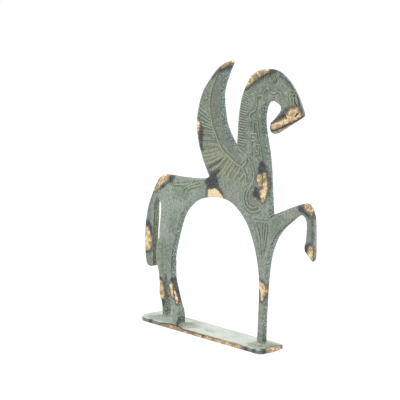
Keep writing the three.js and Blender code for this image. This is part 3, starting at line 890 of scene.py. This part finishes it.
def stroke(line, points):
    """One relief line as samples: place, half width and height, which fades out at both ends."""
    if line.get("cornered"):
        path = np.vstack([smooth_line(side, RELIEF_STEP) for side in zip(points, points[1:])])
    else:
        path = smooth_line(points, RELIEF_STEP)
    along = np.arange(len(path)) * RELIEF_STEP
    fade = np.clip(np.minimum(along, along[::-1]) / RELIEF_FADE + RELIEF_END, 0, 1)
    fade *= 1 - line.get("beads", 0) * (0.5 + 0.5 * np.cos(2 * np.pi * along / BEAD_PITCH))
    half = np.full(len(path), line["half"])
    return np.c_[path, half, line["height"] * fade]


def strokes(line, paths):
    return [stroke(line, points) for points in paths]


def at_share(path, share):
    """The place on an evenly stepped path, and its unit direction."""
    spot = min(len(path) - 2, int(share * (len(path) - 1)))
    along = path[spot + 1] - path[spot]
    return path[spot], along / np.linalg.norm(along)


random.seed(11)
rib_path = smooth_line(WING_RIB, RELIEF_STEP)
wing_edge = smooth_line(OUTLINE["wing_back"], RELIEF_STEP)
barbs = strokes(FEATHER_LINE, FEATHERS)
for count, run in enumerate(np.arange(BARB_FIRST, BARB_LAST, BARB_PITCH)):
    root = rib_path[int(run / RELIEF_STEP)]
    bearing = np.interp(root[1], BARB_HEIGHTS, BARB_BEARINGS) + random.uniform(-BARB_TURN, BARB_TURN)
    bearing = math.radians(bearing)
    ray = np.array([math.cos(bearing), math.sin(bearing)])
    away = wing_edge - root
    beside = np.abs(away[:, 0] * ray[1] - away[:, 1] * ray[0])
    ahead = away @ ray
    reach = ahead[(beside < EDGE_NEAR) & (ahead > EDGE_AHEAD)].min() - BARB_EDGE_GAP
    bend = np.array([-ray[1], ray[0]]) * random.uniform(*BARB_BEND)
    barb = [root + ray * BARB_START, root + ray * reach / 2 + bend, root + ray * reach]
    barbs.append(stroke(BARB_LINE, barb))
    if count % 2:
        beside_root = root + np.array([0, 0.5 * BARB_PITCH])
        pit = [beside_root + ray * PIT_START, beside_root + ray * random.uniform(*PIT_END)]
        barbs.append(stroke(BARB_PIT, pit))

crest_path = smooth_line(OUTLINE["crest"], RELIEF_STEP)
crest_length = len(crest_path) * RELIEF_STEP
mane = []
for i in range(int(crest_length * MANE_END / MANE_PITCH)):
    share = (i + 1) * MANE_PITCH / crest_length
    at, along = at_share(crest_path, share)
    inward = np.array([along[1], -along[0]])
    root = np.interp(share, MANE_SHARES, MANE_ROOTS)
    reach = np.interp(share, MANE_SHARES, MANE_REACHES) + random.uniform(-MANE_UNEVEN, MANE_UNEVEN)
    mane.append(stroke(MANE_LINE, [at + inward * root, at + inward * reach]))

common = [stroke(RIB_LINE, WING_RIB), *barbs, *mane]
common += strokes(SOFT_LINE, SHOULDER_LINES + HAUNCH_LINES + HEAD_LINES)
common += strokes(SUNK_LINE, SUNK_MARKS) + strokes(DEEP_LINE, DEEP_MARKS)
right_only = strokes(KEY_LINE, KEY_PATTERN) + strokes(NECK_LINE, NECK_PATTERN)
right_only += strokes(WEDGE_LINE, WEDGE_LINES) + strokes(GROOVE_LINE, FILE_MARKS)
right_only += strokes(SUNK_LINE, FOREARM_LINES)
RELIEF_ON_FACE = {-1: np.vstack(common + right_only), 1: np.vstack(common)}


def relief_at(places, normals):
    """How far the relief stands out of the face at each place, and how deep in a hollow the place is."""
    height = np.zeros(len(places))
    hollow = np.zeros(len(places))
    for side, samples in RELIEF_ON_FACE.items():
        tree = kdtree.KDTree(len(samples))
        for i, (x, z, _, _) in enumerate(samples):
            tree.insert((x, z, 0), i)
        tree.balance()
        low, high = samples[:, :2].min(axis=0) - 1, samples[:, :2].max(axis=0) + 1
        flat = places[:, [0, 2]] - (0, BASE_TOP / MM)
        near = (normals[:, 1] * side > FACE_TILT) & np.all((flat > low) & (flat < high), axis=1)
        for spot in np.flatnonzero(near):
            _, nearest, gap = tree.find((flat[spot, 0], flat[spot, 1], 0))
            half, top = samples[nearest, 2:]
            facing = min(1, (abs(normals[spot, 1]) - FACE_TILT) / FACE_FADE)
            if gap < half:
                height[spot] = top * facing * (1 - (gap / half) ** 2)
            if top > 0:
                steps = [HOLLOW_START * half, HOLLOW_FULL * half, HOLLOW_FULL * half + HOLLOW_REACH]
                hollow[spot] = facing * top / RIB_LINE["height"] * np.interp(gap, steps, [0, 1, 0])
    return height, hollow


places = vertex_places(casting_mesh)
normals = vertex_normals(casting_mesh)
heights, hollows = relief_at(places, normals)
places[:, 1] += np.sign(normals[:, 1]) * (heights - HOLLOW_DEPTH * hollows)
on_side = 1 - np.abs(normals[:, 1])
lumps = sum(high * roughness_at(places, size, seed) for seed, (size, high) in enumerate(SKIN_LUMPS, 3))
grain = SKIN_GRAIN[1] * roughness_at(places, SKIN_GRAIN[0], 5) * (GRAIN_ON_FACE + on_side)
places += normals * (lumps + grain - SKIN_DROP)[:, None]
places[:, 2] = np.maximum(places[:, 2], BASE_TOP / MM)
set_vertex_places(casting_mesh, places)
thin_out = casting.modifiers.new("fewer faces where flat", "DECIMATE")
thin_out.ratio = min(1, MOST_TRIANGLES / (2 * len(casting_mesh.polygons)))
casting_mesh = finished_mesh(casting, "pegasus_casting")
casting.modifiers.clear()
casting.data = casting_mesh
casting_mesh.shade_smooth()

# Wear on the casting
# The patina is rubbed through to bare bronze on the high and handled spots, with burnt dark metal beside
# them, and a shadow is painted where the right foot meets the strip. Each spot is an outline on the face, in
# millimetres, and those on an edge run on over the edge.
BARE_SPOTS = {
    "wing_tip": [
        (12.4, 148.8), (14.8, 149.8), (16.4, 150.7), (18.4, 151.5), (20.2, 151.9), (22.9, 153.3), (20.6, 155),
        (16, 154), (11.1, 150.6),
    ],
    "wing_back": [
        (-8.6, 120), (-5.6, 120.2), (-4.6, 118.9), (-4.1, 116.9), (-4.6, 115.2), (-5.5, 112.9), (-5.6, 109.5),
        (-4.6, 106.8), (-6, 104.5), (-8.6, 104.8),
    ],
    "crest": [
        (30, 138.6), (33.2, 140.2), (35.2, 141.8), (37.4, 143.4), (39.6, 144.6), (42.4, 145.9), (45.2, 147.2),
        (47.7, 148.3), (47.7, 151.5), (31.5, 150.9), (27.1, 138.1),
    ],
    "head": [
        (63, 130.3), (67.9, 131.2), (68.6, 129.8), (70.4, 127.6), (70.7, 126.6), (69.2, 125.8), (65.7, 124.1),
        (61.6, 122.3), (56.6, 120.1), (53.8, 119), (50.9, 118.2), (50, 119.5), (49.7, 121), (51.8, 121.9),
        (54.4, 122.7), (56.8, 123.9), (58.7, 124.9), (59.7, 126.7), (61, 128.3),
    ],
    "chin": [(55, 116), (54.8, 118.7), (60.4, 121), (66, 123.6), (66.4, 121.4), (59.8, 117.5)],
    "waist": [(1.3, 74), (1.7, 80.5), (3, 81.7), (9, 82.5), (10.8, 81.4), (13, 79.7), (14.6, 77.9), (14, 74)],
    "croup": [
        (-40.3, 81.6), (-37.9, 85.5), (-35.4, 88), (-30.9, 88), (-30.6, 84.3), (-31.8, 82.2), (-34.1, 81.3),
        (-36.2, 80.5), (-38, 78.9), (-39.9, 76.9), (-42.1, 75.2), (-46, 74.5), (-43.6, 79),
    ],
    "tail": [
        (-54, 53.3), (-49.9, 53.2), (-48.6, 51.9), (-47.7, 49.6), (-46.3, 47.4), (-46, 44.5), (-46.9, 41.7),
        (-48.4, 39), (-54, 38.3),
    ],
    "foreleg": [
        (39, 35.4), (42.5, 36.1), (43.7, 35.7), (45.4, 35.2), (46.5, 33.4), (46.5, 30.5), (45.7, 27.5),
        (44.9, 25.1), (44.1, 24.3), (43.4, 26), (43, 29.4), (42.1, 31.2), (39, 31.8),
    ],
    "knee": [
        (72.9, 80.6), (74.3, 83.5), (77.4, 83.5), (78.8, 80.9), (79.2, 78.5), (79, 75.6), (77.8, 75.9),
        (76.4, 77.1), (74.7, 77.7), (73.3, 78.8),
    ],
    "hoof": [
        (75.8, 55), (76, 58.5), (77.4, 60.1), (79.3, 60.3), (79.8, 57.8), (79.7, 55.2), (79.7, 52),
        (78.6, 50),
    ],
    "left_hock": [
        (-45.4, 20.7), (-40.5, 22.3), (-39, 21.7), (-38.6, 19.3), (-38.1, 15.7), (-38.1, 12.6), (-39.3, 10.9),
        (-41.3, 10.6), (-45.4, 11.8),
    ],
}
BARE_ON_RIGHT = {
    "chest_back": [
        (40, 93), (41.5, 93.9), (43.3, 94.3), (43.8, 92.6), (43.8, 90.5), (43.5, 87.6), (41.4, 87.6),
        (40.2, 89.1),
    ],
    "chest_front": [
        (44.4, 94.9), (46.5, 95.3), (47.4, 93), (48, 89.9), (48.2, 86.2), (47.3, 82.9), (46.1, 79.5),
        (44.6, 78.5), (43.4, 79.5), (42.9, 82.3), (42.1, 84.7), (42.6, 86.3), (44.3, 86.6), (44.8, 89.6),
    ],
    "right_hock_back": [
        (-29.3, 22.4), (-26.6, 23.4), (-25.6, 21.4), (-24.8, 18.3), (-24.2, 15.4), (-25, 14.6), (-26.5, 15.8),
        (-27.9, 18.9),
    ],
    "right_hock_front": [
        (-25.3, 20.6), (-23.4, 20.8), (-21.4, 16.6), (-19.8, 12.2), (-21.8, 12), (-23, 14.8), (-24.3, 18),
    ],
}
DARK_SPOTS = {
    "wing_tip": [
        (6.2, 144.8), (8.2, 146.5), (10.5, 148.3), (12.9, 149.4), (16, 150.1), (18.7, 150.9), (20.2, 150.2),
        (17.9, 149), (15.2, 147.6), (12.5, 146.7), (9.7, 146.3), (7.8, 144.6), (5.8, 143.2), (4.6, 143.4),
    ],
    "wing_tip_low": [
        (9.3, 147.1), (10.8, 148.8), (14.7, 150.1), (18.6, 151), (18.6, 149.1), (15.5, 147.7), (11.6, 146.4),
    ],
    "wing_back": [
        (-4.6, 118.6), (-3.1, 117.3), (-1.4, 115.2), (-1.5, 112.7), (-1.7, 109.6), (-2.5, 107.5),
        (-1.9, 104.8), (-1.5, 102.9), (-3.1, 102.7), (-4.6, 105.7), (-5.1, 109.6), (-5.1, 112.9),
        (-4.2, 115.3),
    ],
    "crest": [
        (29.7, 137.6), (31.6, 138), (34.3, 139.4), (37.2, 141), (40.1, 142.8), (42.9, 144.3), (45.8, 146),
        (48.4, 147.1), (50.6, 147.5), (50.6, 149.5), (47.7, 149.4), (46.4, 148.4), (45, 147.2), (42.2, 145.8),
        (39.3, 144.2), (36.4, 142.6), (33.5, 140.7), (30.3, 139.3),
    ],
    "crest_end": [
        (46.6, 149.4), (47, 147.1), (49.2, 146.4), (50.9, 147.6), (53.4, 148.6), (56.3, 147.6), (59.1, 146.5),
        (60, 146.8), (54.8, 150.2), (50.5, 150.8),
    ],
    "cheek": [
        (49, 121.4), (51.4, 123.1), (54.4, 125), (57.1, 127.3), (58.8, 129.4), (61.2, 130.7), (63.5, 130.9),
        (68.8, 131.9), (69.1, 130.6), (63.2, 130), (60.6, 128.6), (58.9, 127.1), (58.3, 125.2), (56.4, 124.4),
        (54.2, 122.9), (51.6, 121.9), (50, 120.8), (49.8, 119.2), (51.2, 117.7), (49.4, 116.4), (48.5, 119.1),
    ],
    "brow": [(69.2, 130.9), (70.1, 130.2), (70.8, 128.5), (70.8, 127), (70.2, 127.8), (69, 129.8)],
    "feather": [(1.1, 93.5), (3, 93.3), (6.2, 95.1), (12.4, 98.2), (13.2, 99.1), (8.6, 97), (3.5, 94.6)],
    "waist": [
        (2.7, 92), (6.2, 91.6), (9, 93.2), (12.3, 94), (11.5, 92.4), (9.1, 90.2), (9.9, 88.4), (10.7, 85.9),
        (10.9, 84.1), (13, 82.4), (15.4, 79), (13, 80.2), (10.3, 82), (9, 82.6), (2.2, 81.7), (1.4, 79.2),
        (0.6, 78), (0.9, 82.6), (-0.2, 85.6), (0.9, 88), (3.3, 88.7), (4.2, 90.6),
    ],
    "croup": [
        (-31.1, 88), (-25.7, 88), (-26.2, 84.2), (-27.4, 82.3), (-30.1, 81.5), (-32.9, 80.4), (-34.6, 78.6),
        (-36.9, 77.6), (-39.6, 76.7), (-41.7, 74.9), (-42.4, 75.3), (-39.9, 77.1), (-37.3, 79.8),
        (-32.7, 81.8), (-30.9, 83.7),
    ],
    "tail": [
        (-54, 57.1), (-48.8, 57.1), (-46.8, 55.6), (-45.9, 53.7), (-45.6, 50.8), (-45.8, 47.4), (-46, 45.2),
        (-46.4, 47.5), (-47.6, 49.7), (-48.4, 52), (-49.9, 53.6), (-54, 53.9),
    ],
    "tail_low": [
        (-54, 38.7), (-48.2, 39.3), (-46.9, 41.6), (-46.2, 43.9), (-45.9, 42.2), (-46.4, 39.1), (-47.9, 37.5),
        (-54, 36.8),
    ],
    "foreleg": [
        (39, 36.5), (42.8, 37), (45.1, 36.3), (46.3, 34.9), (46.6, 32), (46.1, 28.6), (44.8, 25.8), (43, 24),
        (39, 23.6), (39, 24.1), (43, 24.8), (45, 27.4), (45.9, 30.5), (45.7, 33.8), (43.7, 35.6), (39, 35.4),
    ],
    "knee": [
        (69.3, 79.6), (72.3, 80.6), (73.3, 78.7), (74.7, 77.5), (76.5, 76.7), (77.9, 75.4), (79.3, 75.2),
        (79.8, 79.3), (78.8, 80.9), (79.9, 80.8), (80.9, 77.8), (80.3, 74.3), (77.5, 74.3), (74.8, 75.1),
        (72.9, 76.5), (70.6, 76.8), (69, 78.1),
    ],
    "knee_spot": [(73.8, 79.2), (74.6, 78.9), (75.6, 78.1), (75.2, 77.7)],
    "hoof": [
        (75.2, 60.8), (77.4, 61.7), (79.6, 61.2), (79.9, 59.4), (79.3, 59.9), (77.4, 59.8), (76.3, 58.4),
        (76.1, 56.4), (75.3, 55), (73, 56.6), (73, 59),
    ],
    "left_hock": [
        (-45.4, 23.8), (-40.1, 24), (-38.2, 23.3), (-37.4, 21.6), (-37.3, 18.2), (-37.2, 14.9), (-37.2, 12.4),
        (-38, 10.6), (-38.6, 8), (-39.4, 6.1), (-40.9, 6.1), (-43.3, 5.8), (-43, 9), (-41.7, 9.9),
        (-38.8, 11), (-38.1, 12.4), (-38.1, 15.7), (-38.5, 19.3), (-39.7, 22), (-45.4, 21.3),
    ],
    "standing_foot": [(44.8, 2.4), (45.3, 5), (45.9, 8), (46.5, 9), (46.9, 8), (46.8, 4.6), (46, 2.6)],
}
DARK_ON_RIGHT = {
    "chest_low": [
        (38.8, 87.3), (41.1, 86.5), (42.1, 86.3), (41.8, 84.7), (42.6, 82.5), (43.1, 80.2), (41.2, 79.4),
        (39.9, 81.2), (37.1, 81.3), (36.3, 83.4), (38.1, 84.7), (38.1, 86.1),
    ],
    "chest_high": [
        (40.6, 94.5), (40.7, 98.3), (42.1, 100.5), (44.2, 101.6), (45.8, 100.4), (46.9, 97.8), (47.6, 95.6),
        (48.3, 92.7), (48.8, 88.5), (48.5, 84.9), (47.6, 82), (46.1, 78.6), (47.2, 82.8), (48, 86.2),
        (47.8, 89.9), (47.2, 92.7), (46.3, 95.2), (42.9, 94.1), (41.3, 93.8),
    ],
    "chest_middle": [
        (43.7, 95.6), (43.8, 92.7), (43.8, 87.6), (43.7, 86.7), (44.2, 86.7), (44.4, 89.5), (44.3, 92.7),
        (44.1, 95.4),
    ],
    "poll": [
        (56.2, 147), (58.9, 145.9), (61.4, 144.3), (63.4, 142.8), (64.9, 141.3), (65.2, 140.4), (64.7, 140.5),
        (63.3, 141.7), (61.2, 143.1), (58.9, 144.5), (56.6, 145.7), (55.2, 146.6),
    ],
    "shin": [
        (78.3, 76), (78.5, 73.2), (78.6, 70.1), (78.7, 66.5), (78.8, 62.8), (78.9, 58.6), (79.1, 55.5),
        (79.9, 55.5), (79.8, 58.6), (79.7, 62.8), (79.6, 66.5), (79.5, 70.1), (79.4, 73.2), (79.2, 76),
    ],
    # A painted shadow in the gap where the right foot meets the strip.
    "right_foot": [(-19.6, -0.5), (-18.8, 2.4), (-17.9, 4.6), (-17.4, 4.6), (-17.4, 2), (-18, -0.5)],
    "right_hock": [
        (-29.4, 23.7), (-27, 26.4), (-24.6, 26.6), (-22, 22), (-19, 15), (-18.4, 13), (-21, 12.6),
        (-22.8, 14.6), (-24.8, 18.4), (-25.8, 21.4), (-26.6, 23.4), (-27.4, 23.8),
    ],
}
# Where y is below this, in millimetres, the spots of the right side show too
RIGHT_OF = 0.4
# The spots that stop at the rim of the face, and how soon and how sharply they do
FACE_ONLY = ("poll", "shin", "right_hock_back", "right_hock_front")
FACE_RIM = 0.3
FACE_CUT = 5
# How bright the bare metal is in each spot, and how far outside its outline that holds
TONE_REACH = 1
BARE_TONES = {
    "wing_tip": -0.15, "wing_back": 0.4, "crest": -0.02, "head": 0.32, "chin": 0.2, "waist": 0.95,
    "croup": 0.12, "tail": 0.3, "foreleg": 0.5, "knee": 0.08, "hoof": 0.45, "left_hock": 0.35,
    "chest_back": 0.4, "chest_front": 0.5, "right_hock_back": 0.75, "right_hock_front": 0.7,
}
# Where a dark line runs along the rim of the right face, and how the rim leans there
RIM_DARK_LINES = [
    [(-31, 44), (-25, 44), (-25, 23.6), (-31, 23.6)],
    [(49, 52), (54, 60), (60, 66), (68, 73), (66, 76), (56, 68), (50, 60), (45, 52)],
    [(76.4, 76), (80, 77), (80, 54), (77.6, 54)],
    [(62, 142), (66, 144), (70, 138), (73.4, 131), (70, 128), (65, 137)],
    [(-47, 68), (-42, 68), (-43.6, 30), (-47, 30)],
    [(-20, 62), (-24, 50), (-30, 44), (-25, 44), (-18, 60)],
]
RIM_TILT = 0.6
RIM_BAND = 0.3
# Where the patina took another tone
STAINS = {
    "olive": [
        [(-6, 104), (12, 108), (32, 92), (28, 87), (14, 89), (2, 94)],
        [(6, 112), (3, 122), (2.6, 132), (6, 142), (8.4, 145), (4.4, 134), (5, 122), (8, 113)],
        [(-46.5, 29), (-45.6, 60), (-42, 70), (-41, 60), (-43, 29)],
        [(-37.6, 44), (-37.4, 27), (-35, 27), (-35.4, 44)],
        [(-38.6, 8), (-38, 2), (-32, 2), (-32, 14), (-35, 14)],
        [(60.6, 141), (66, 140), (66, 131.6), (62.4, 131.6), (61, 136)],
    ],
    "green": [
        [
            (42.3, 130.8), (46, 130), (46, 118), (48, 106), (47, 99), (44.1, 101.8), (42.1, 106.9),
            (41.3, 112.1), (41.3, 117.5), (41.6, 123.9),
        ],
        [(34.6, 128), (41, 127), (41, 117), (35, 117)],
        [(48.6, 146), (54, 145.4), (55.4, 140.4), (50, 139.4), (46, 142)],
        [(44, 140), (48, 139), (45, 133), (40, 134)],
        [(50.6, 71), (58, 74), (62, 71), (55, 62), (50, 60)],
        [(-20, 81), (-12, 80), (-16, 73), (-26, 74), (-28, 82)],
        [(-29.5, 63), (-23.6, 62), (-26, 52), (-30, 50), (-31.6, 56)],
        [(-40, 46), (-28, 46), (-29, 28), (-40, 28)],
    ],
    "grey": [
        [(75, 54), (75.2, 76), (79, 76), (79.2, 54)],
        [(-53, 29), (-52.6, 38), (-47.4, 40), (-46, 30)],
        [(-52, 54), (-47, 56), (-45, 68), (-42, 76), (-48, 72)],
    ],
    "mauve": [
        [(57, 146.4), (62, 142.2), (67, 136), (70.4, 129.6), (72, 128), (76, 128), (70, 142), (58, 151)],
        [(52, 115), (55, 118), (62, 121), (70, 125.6), (72, 124), (60, 114)],
        [(79.4, 78), (83, 78), (83, 54), (79.4, 54)],
        [(58, 77), (64, 79.6), (71, 82), (70, 77), (62, 73)],
        [(48.2, 26), (50, 26), (51, 44), (60, 62), (56, 63), (51, 54), (49, 44)],
        [(-50, 62), (-47, 62), (-44, 70), (-41.4, 76), (-44, 77), (-48, 70)],
    ],
    "pale": [
        [(-38, 78), (-30, 84), (-14, 84.6), (-3, 84), (-8, 76), (-24, 66), (-36, 66)],
        [(-39, 74), (-30, 76), (-31, 62), (-34, 50), (-39, 48)],
    ],
    "brown": [
        [(4.7, 135.7), (8.8, 136), (9.3, 128.3), (10.1, 120.7), (8.6, 118.4), (5.8, 121.5), (4.5, 128.6)],
        [(36.7, 78.6), (40.4, 79), (41, 76.4), (39, 75), (35.8, 75.6)],
    ],
}
# The smooth band of the wing in front of its rib, greyer than the rest, which fades out towards the shoulder
BAND_RIM = 1.2
BAND_HEIGHTS = [98, 110]
BAND_SHARES = [0.4, 1]
FACE_ON = 0.7
SMOOTH_BAND = [
    (11, 147.6), (7.4, 143), (5.6, 137), (4.8, 131), (4.7, 124), (6.4, 117), (9.6, 110.6), (14, 106),
    (20, 102), (26, 99), (30, 96.6), (31, 99), (27, 103.4), (23, 106.4), (20.4, 108.4), (15.4, 115.4),
    (13, 121), (11.6, 131), (12, 137.5), (15.8, 146),
]

places = vertex_places(casting_mesh)
normals = vertex_normals(casting_mesh)
flat = places[:, [0, 2]] - (0, BASE_TOP / MM)
on_right = places[:, 1] < RIGHT_OF
heights, hollows = relief_at(places, normals)
keep_on_vertices(casting_mesh, "relief", heights / RIB_LINE["height"])
keep_on_vertices(casting_mesh, "hollow", hollows)
off_face = FACE_CUT * np.clip(FACE_RIM + normals[:, 1], 0, 1)
for name, both, right in (("bare", BARE_SPOTS, BARE_ON_RIGHT), ("dark", DARK_SPOTS, DARK_ON_RIGHT)):
    depth = deepest(flat, both.values())
    for spot, outline in right.items():
        inside = depth_inside(flat, outline) - (off_face if spot in FACE_ONLY else 0)
        depth = np.where(on_right, np.maximum(depth, inside), depth)
    keep_on_vertices(casting_mesh, name, depth)
tone = np.zeros(len(places))
for name, spot in (BARE_SPOTS | BARE_ON_RIGHT).items():
    tone = np.where(depth_inside(flat, spot) > -TONE_REACH, BARE_TONES[name], tone)
keep_on_vertices(casting_mesh, "tone", tone)
tilt = np.clip(1 - np.abs(-normals[:, 1] - RIM_TILT) / RIM_BAND, 0, 1)
keep_on_vertices(casting_mesh, "rim", tilt * np.clip(deepest(flat, RIM_DARK_LINES), 0, 1))
for name, stains in STAINS.items():
    keep_on_vertices(casting_mesh, name, deepest(flat, stains))
band = np.clip(depth_inside(flat, SMOOTH_BAND) / BAND_RIM, 0, 1)
band *= np.interp(flat[:, 1], BAND_HEIGHTS, BAND_SHARES) * (np.abs(normals[:, 1]) > FACE_ON)
keep_on_vertices(casting_mesh, "band", band)

# The casting's patina
# The same verdigris, grown thicker: grey-green on the faces and paler low down, darker in the hollows, grainy
# on the sides, and wiped lighter on the raised lines. It is pale at the feet, partly from the braze's flux
# and partly as painted light that lifts the shade where the feet meet the strip.
PATINA.update(
    low=(0.19, 0.23, 0.188),
    high=(0.135, 0.163, 0.123),
    pale=(0.25, 0.295, 0.235),
    warm=(0.14, 0.14, 0.105),
    band=(0.095, 0.11, 0.089),
    olive=(0.2, 0.21, 0.11),
    green=(0.1, 0.15, 0.1),
    grey=(0.12, 0.13, 0.118),
    mauve=(0.27, 0.265, 0.265),
    # The braze's flux, also painted light that lifts the shade at the feet
    braze=(0.31, 0.34, 0.26),
    brown=(0.135, 0.118, 0.098),
    ridge=(0.28, 0.31, 0.225),
    side=(0.135, 0.175, 0.15),
    speck_light=(0.46, 0.52, 0.46),
)
CASTING_LUMPS = {
    "broad": (6, 2),
    "mottle": (1.8, 3),
    "brushed": (1.3, 3, (1, 1, 0.22)),
    "grain": (0.8, 2),
    "fine": (0.5, 2),
    "pepper": (1.1, 2, (1, 1, 0.6)),
    "flecks": (0.7, 2),
}
# Tones laid one over another: the tone, its share, what spreads it, and where it begins and is full
FACE_CLOUDS = [
    ("high", 1.0, "height", 0.055, 0.12),
    ("pale", 0.6, "broad", 0.0, 0.2),
    ("green", 0.5, "broad", -0.02, -0.2),
    ("pale", 0.5, "brushed", 0.02, 0.2),
    ("warm", 0.55, "mottle", 0.0, 0.16),
]
FACE_GRAIN = [("hollow", 0.65, "rough", 0.0, 0.15)]
FACE_SPECKS = [
    ("hollow", 0.4, "pepper", 0.04, 0.2),
    ("speck_light", 0.25, "pepper", -0.06, -0.22),
    ("speck_light", 0.4, "fine", -0.02, -0.2),
]
SIDE_SPECKS = [
    ("speck_dark", 0.85, "grain", -0.02, 0.14),
    ("speck_light", 0.85, "flecks", -0.02, -0.16),
]
FACE_STAINS = {"pale": 0.5, "mauve": 0.45, "olive": 0.5, "green": 0.6, "grey": 0.8}
SIDE_STAINS = {"mauve": 0.8, "olive": 0.9, "green": 0.8}
ROUGH_PATCHES = (-0.16, 0.08)
# How far a stain's rim wanders and fades, in millimetres
STAIN_SPREAD = 5.0
STAIN_RIM = 1.6
# The braze's flux and the painted light at the feet, by the height over the strip in millimetres
BRAZE_PAINTED_LIGHT_SHARE = 0.85
BRAZE_PAINTED_LIGHT_HEIGHTS = (2.4, 0.2)
BRAZE_PAINTED_LIGHT_SPREAD = 6
BAND_SHARE = 0.8
HOLLOW_SHARE = 0.75
RIDGE_SHARE = 0.75
RIDGE_HEIGHTS = (0.15, 1.0)
RIDGE_NOISE = (0.14, -0.1)
SUNK_DEPTHS = (0.15, 0.75)
RIM_LINE_NOISE = (-0.2, -0.02)
# Where the side's tone begins and is full, by how far the metal has turned from the face
SIDE_TURN = (0.2, 0.6)
SIDE_UNEVEN = 0.5

cast = Shading("cast_patina")
spreads = cast.noises(CASTING_LUMPS)
mottle, grain = spreads["mottle"], spreads["grain"]
uneven = cast.sum(spreads["broad"], mottle)
spreads["rough"] = cast.times(grain, cast.ramp(uneven, *ROUGH_PATCHES))
spreads["height"] = cast.axes(cast.place)["Z"]
relief = cast.kept("relief")


def layered(under, layers):
    for tone, share, name, low, high in layers:
        under = cast.tint(under, tone, share, spreads[name], low, high)
    return under


def stained(under, stains):
    for tone, share in stains.items():
        reach = cast.sum(cast.kept(tone), cast.times(uneven, STAIN_SPREAD))
        under = cast.tint(under, tone, share, reach, -STAIN_RIM, STAIN_RIM)
    return under


face = stained(layered(PATINA["low"], FACE_CLOUDS), FACE_STAINS)
face = cast.lay(layered(face, FACE_GRAIN), "band", BAND_SHARE, cast.kept("band"))
face = stained(layered(face, FACE_SPECKS), {"brown": 0.4})
face = cast.lay(face, "hollow", HOLLOW_SHARE, cast.kept("hollow"))
ridge = cast.times(cast.ramp(relief, *RIDGE_HEIGHTS), cast.ramp(grain, *RIDGE_NOISE))
face = cast.lay(face, "ridge", RIDGE_SHARE, ridge)

sides = stained(layered(stained(PATINA["side"], SIDE_STAINS), SIDE_SPECKS), {"mauve": 0.55})
sideways = cast.math("SUBTRACT", 1.0, cast.math("ABSOLUTE", cast.normal["Y"]), clamp=True)
side = cast.ramp(cast.sum(sideways, cast.times(mottle, SIDE_UNEVEN)), *SIDE_TURN)
skin = cast.blend(side, face, sides)

# Painted light with the braze's flux: the feet turn pale towards the strip, lifting the shade where they meet
# it.
wander = cast.times(cast.sum(mottle, spreads["fine"]), BRAZE_PAINTED_LIGHT_SPREAD * MM)
over_strip = cast.sum(cast.less(spreads["height"], BASE_TOP), wander)
skin = cast.tint(skin, "braze", BRAZE_PAINTED_LIGHT_SHARE, over_strip, BRAZE_PAINTED_LIGHT_HEIGHTS[0] * MM, BRAZE_PAINTED_LIGHT_HEIGHTS[1] * MM)
dark_lines = cast.ramp(cast.times(relief, -1.0), *SUNK_DEPTHS)
# A dark line along the rim of the right face, where it leans towards the side.
rim_line = cast.times(cast.kept("rim"), cast.ramp(grain, *RIM_LINE_NOISE))
worn_bronze(cast, skin, cast.kept("tone"), cast.math("MAXIMUM", dark_lines, rim_line))
casting_mesh.materials.clear()
casting_mesh.materials.append(cast.material)

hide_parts("pegasus")
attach(casting, "root")
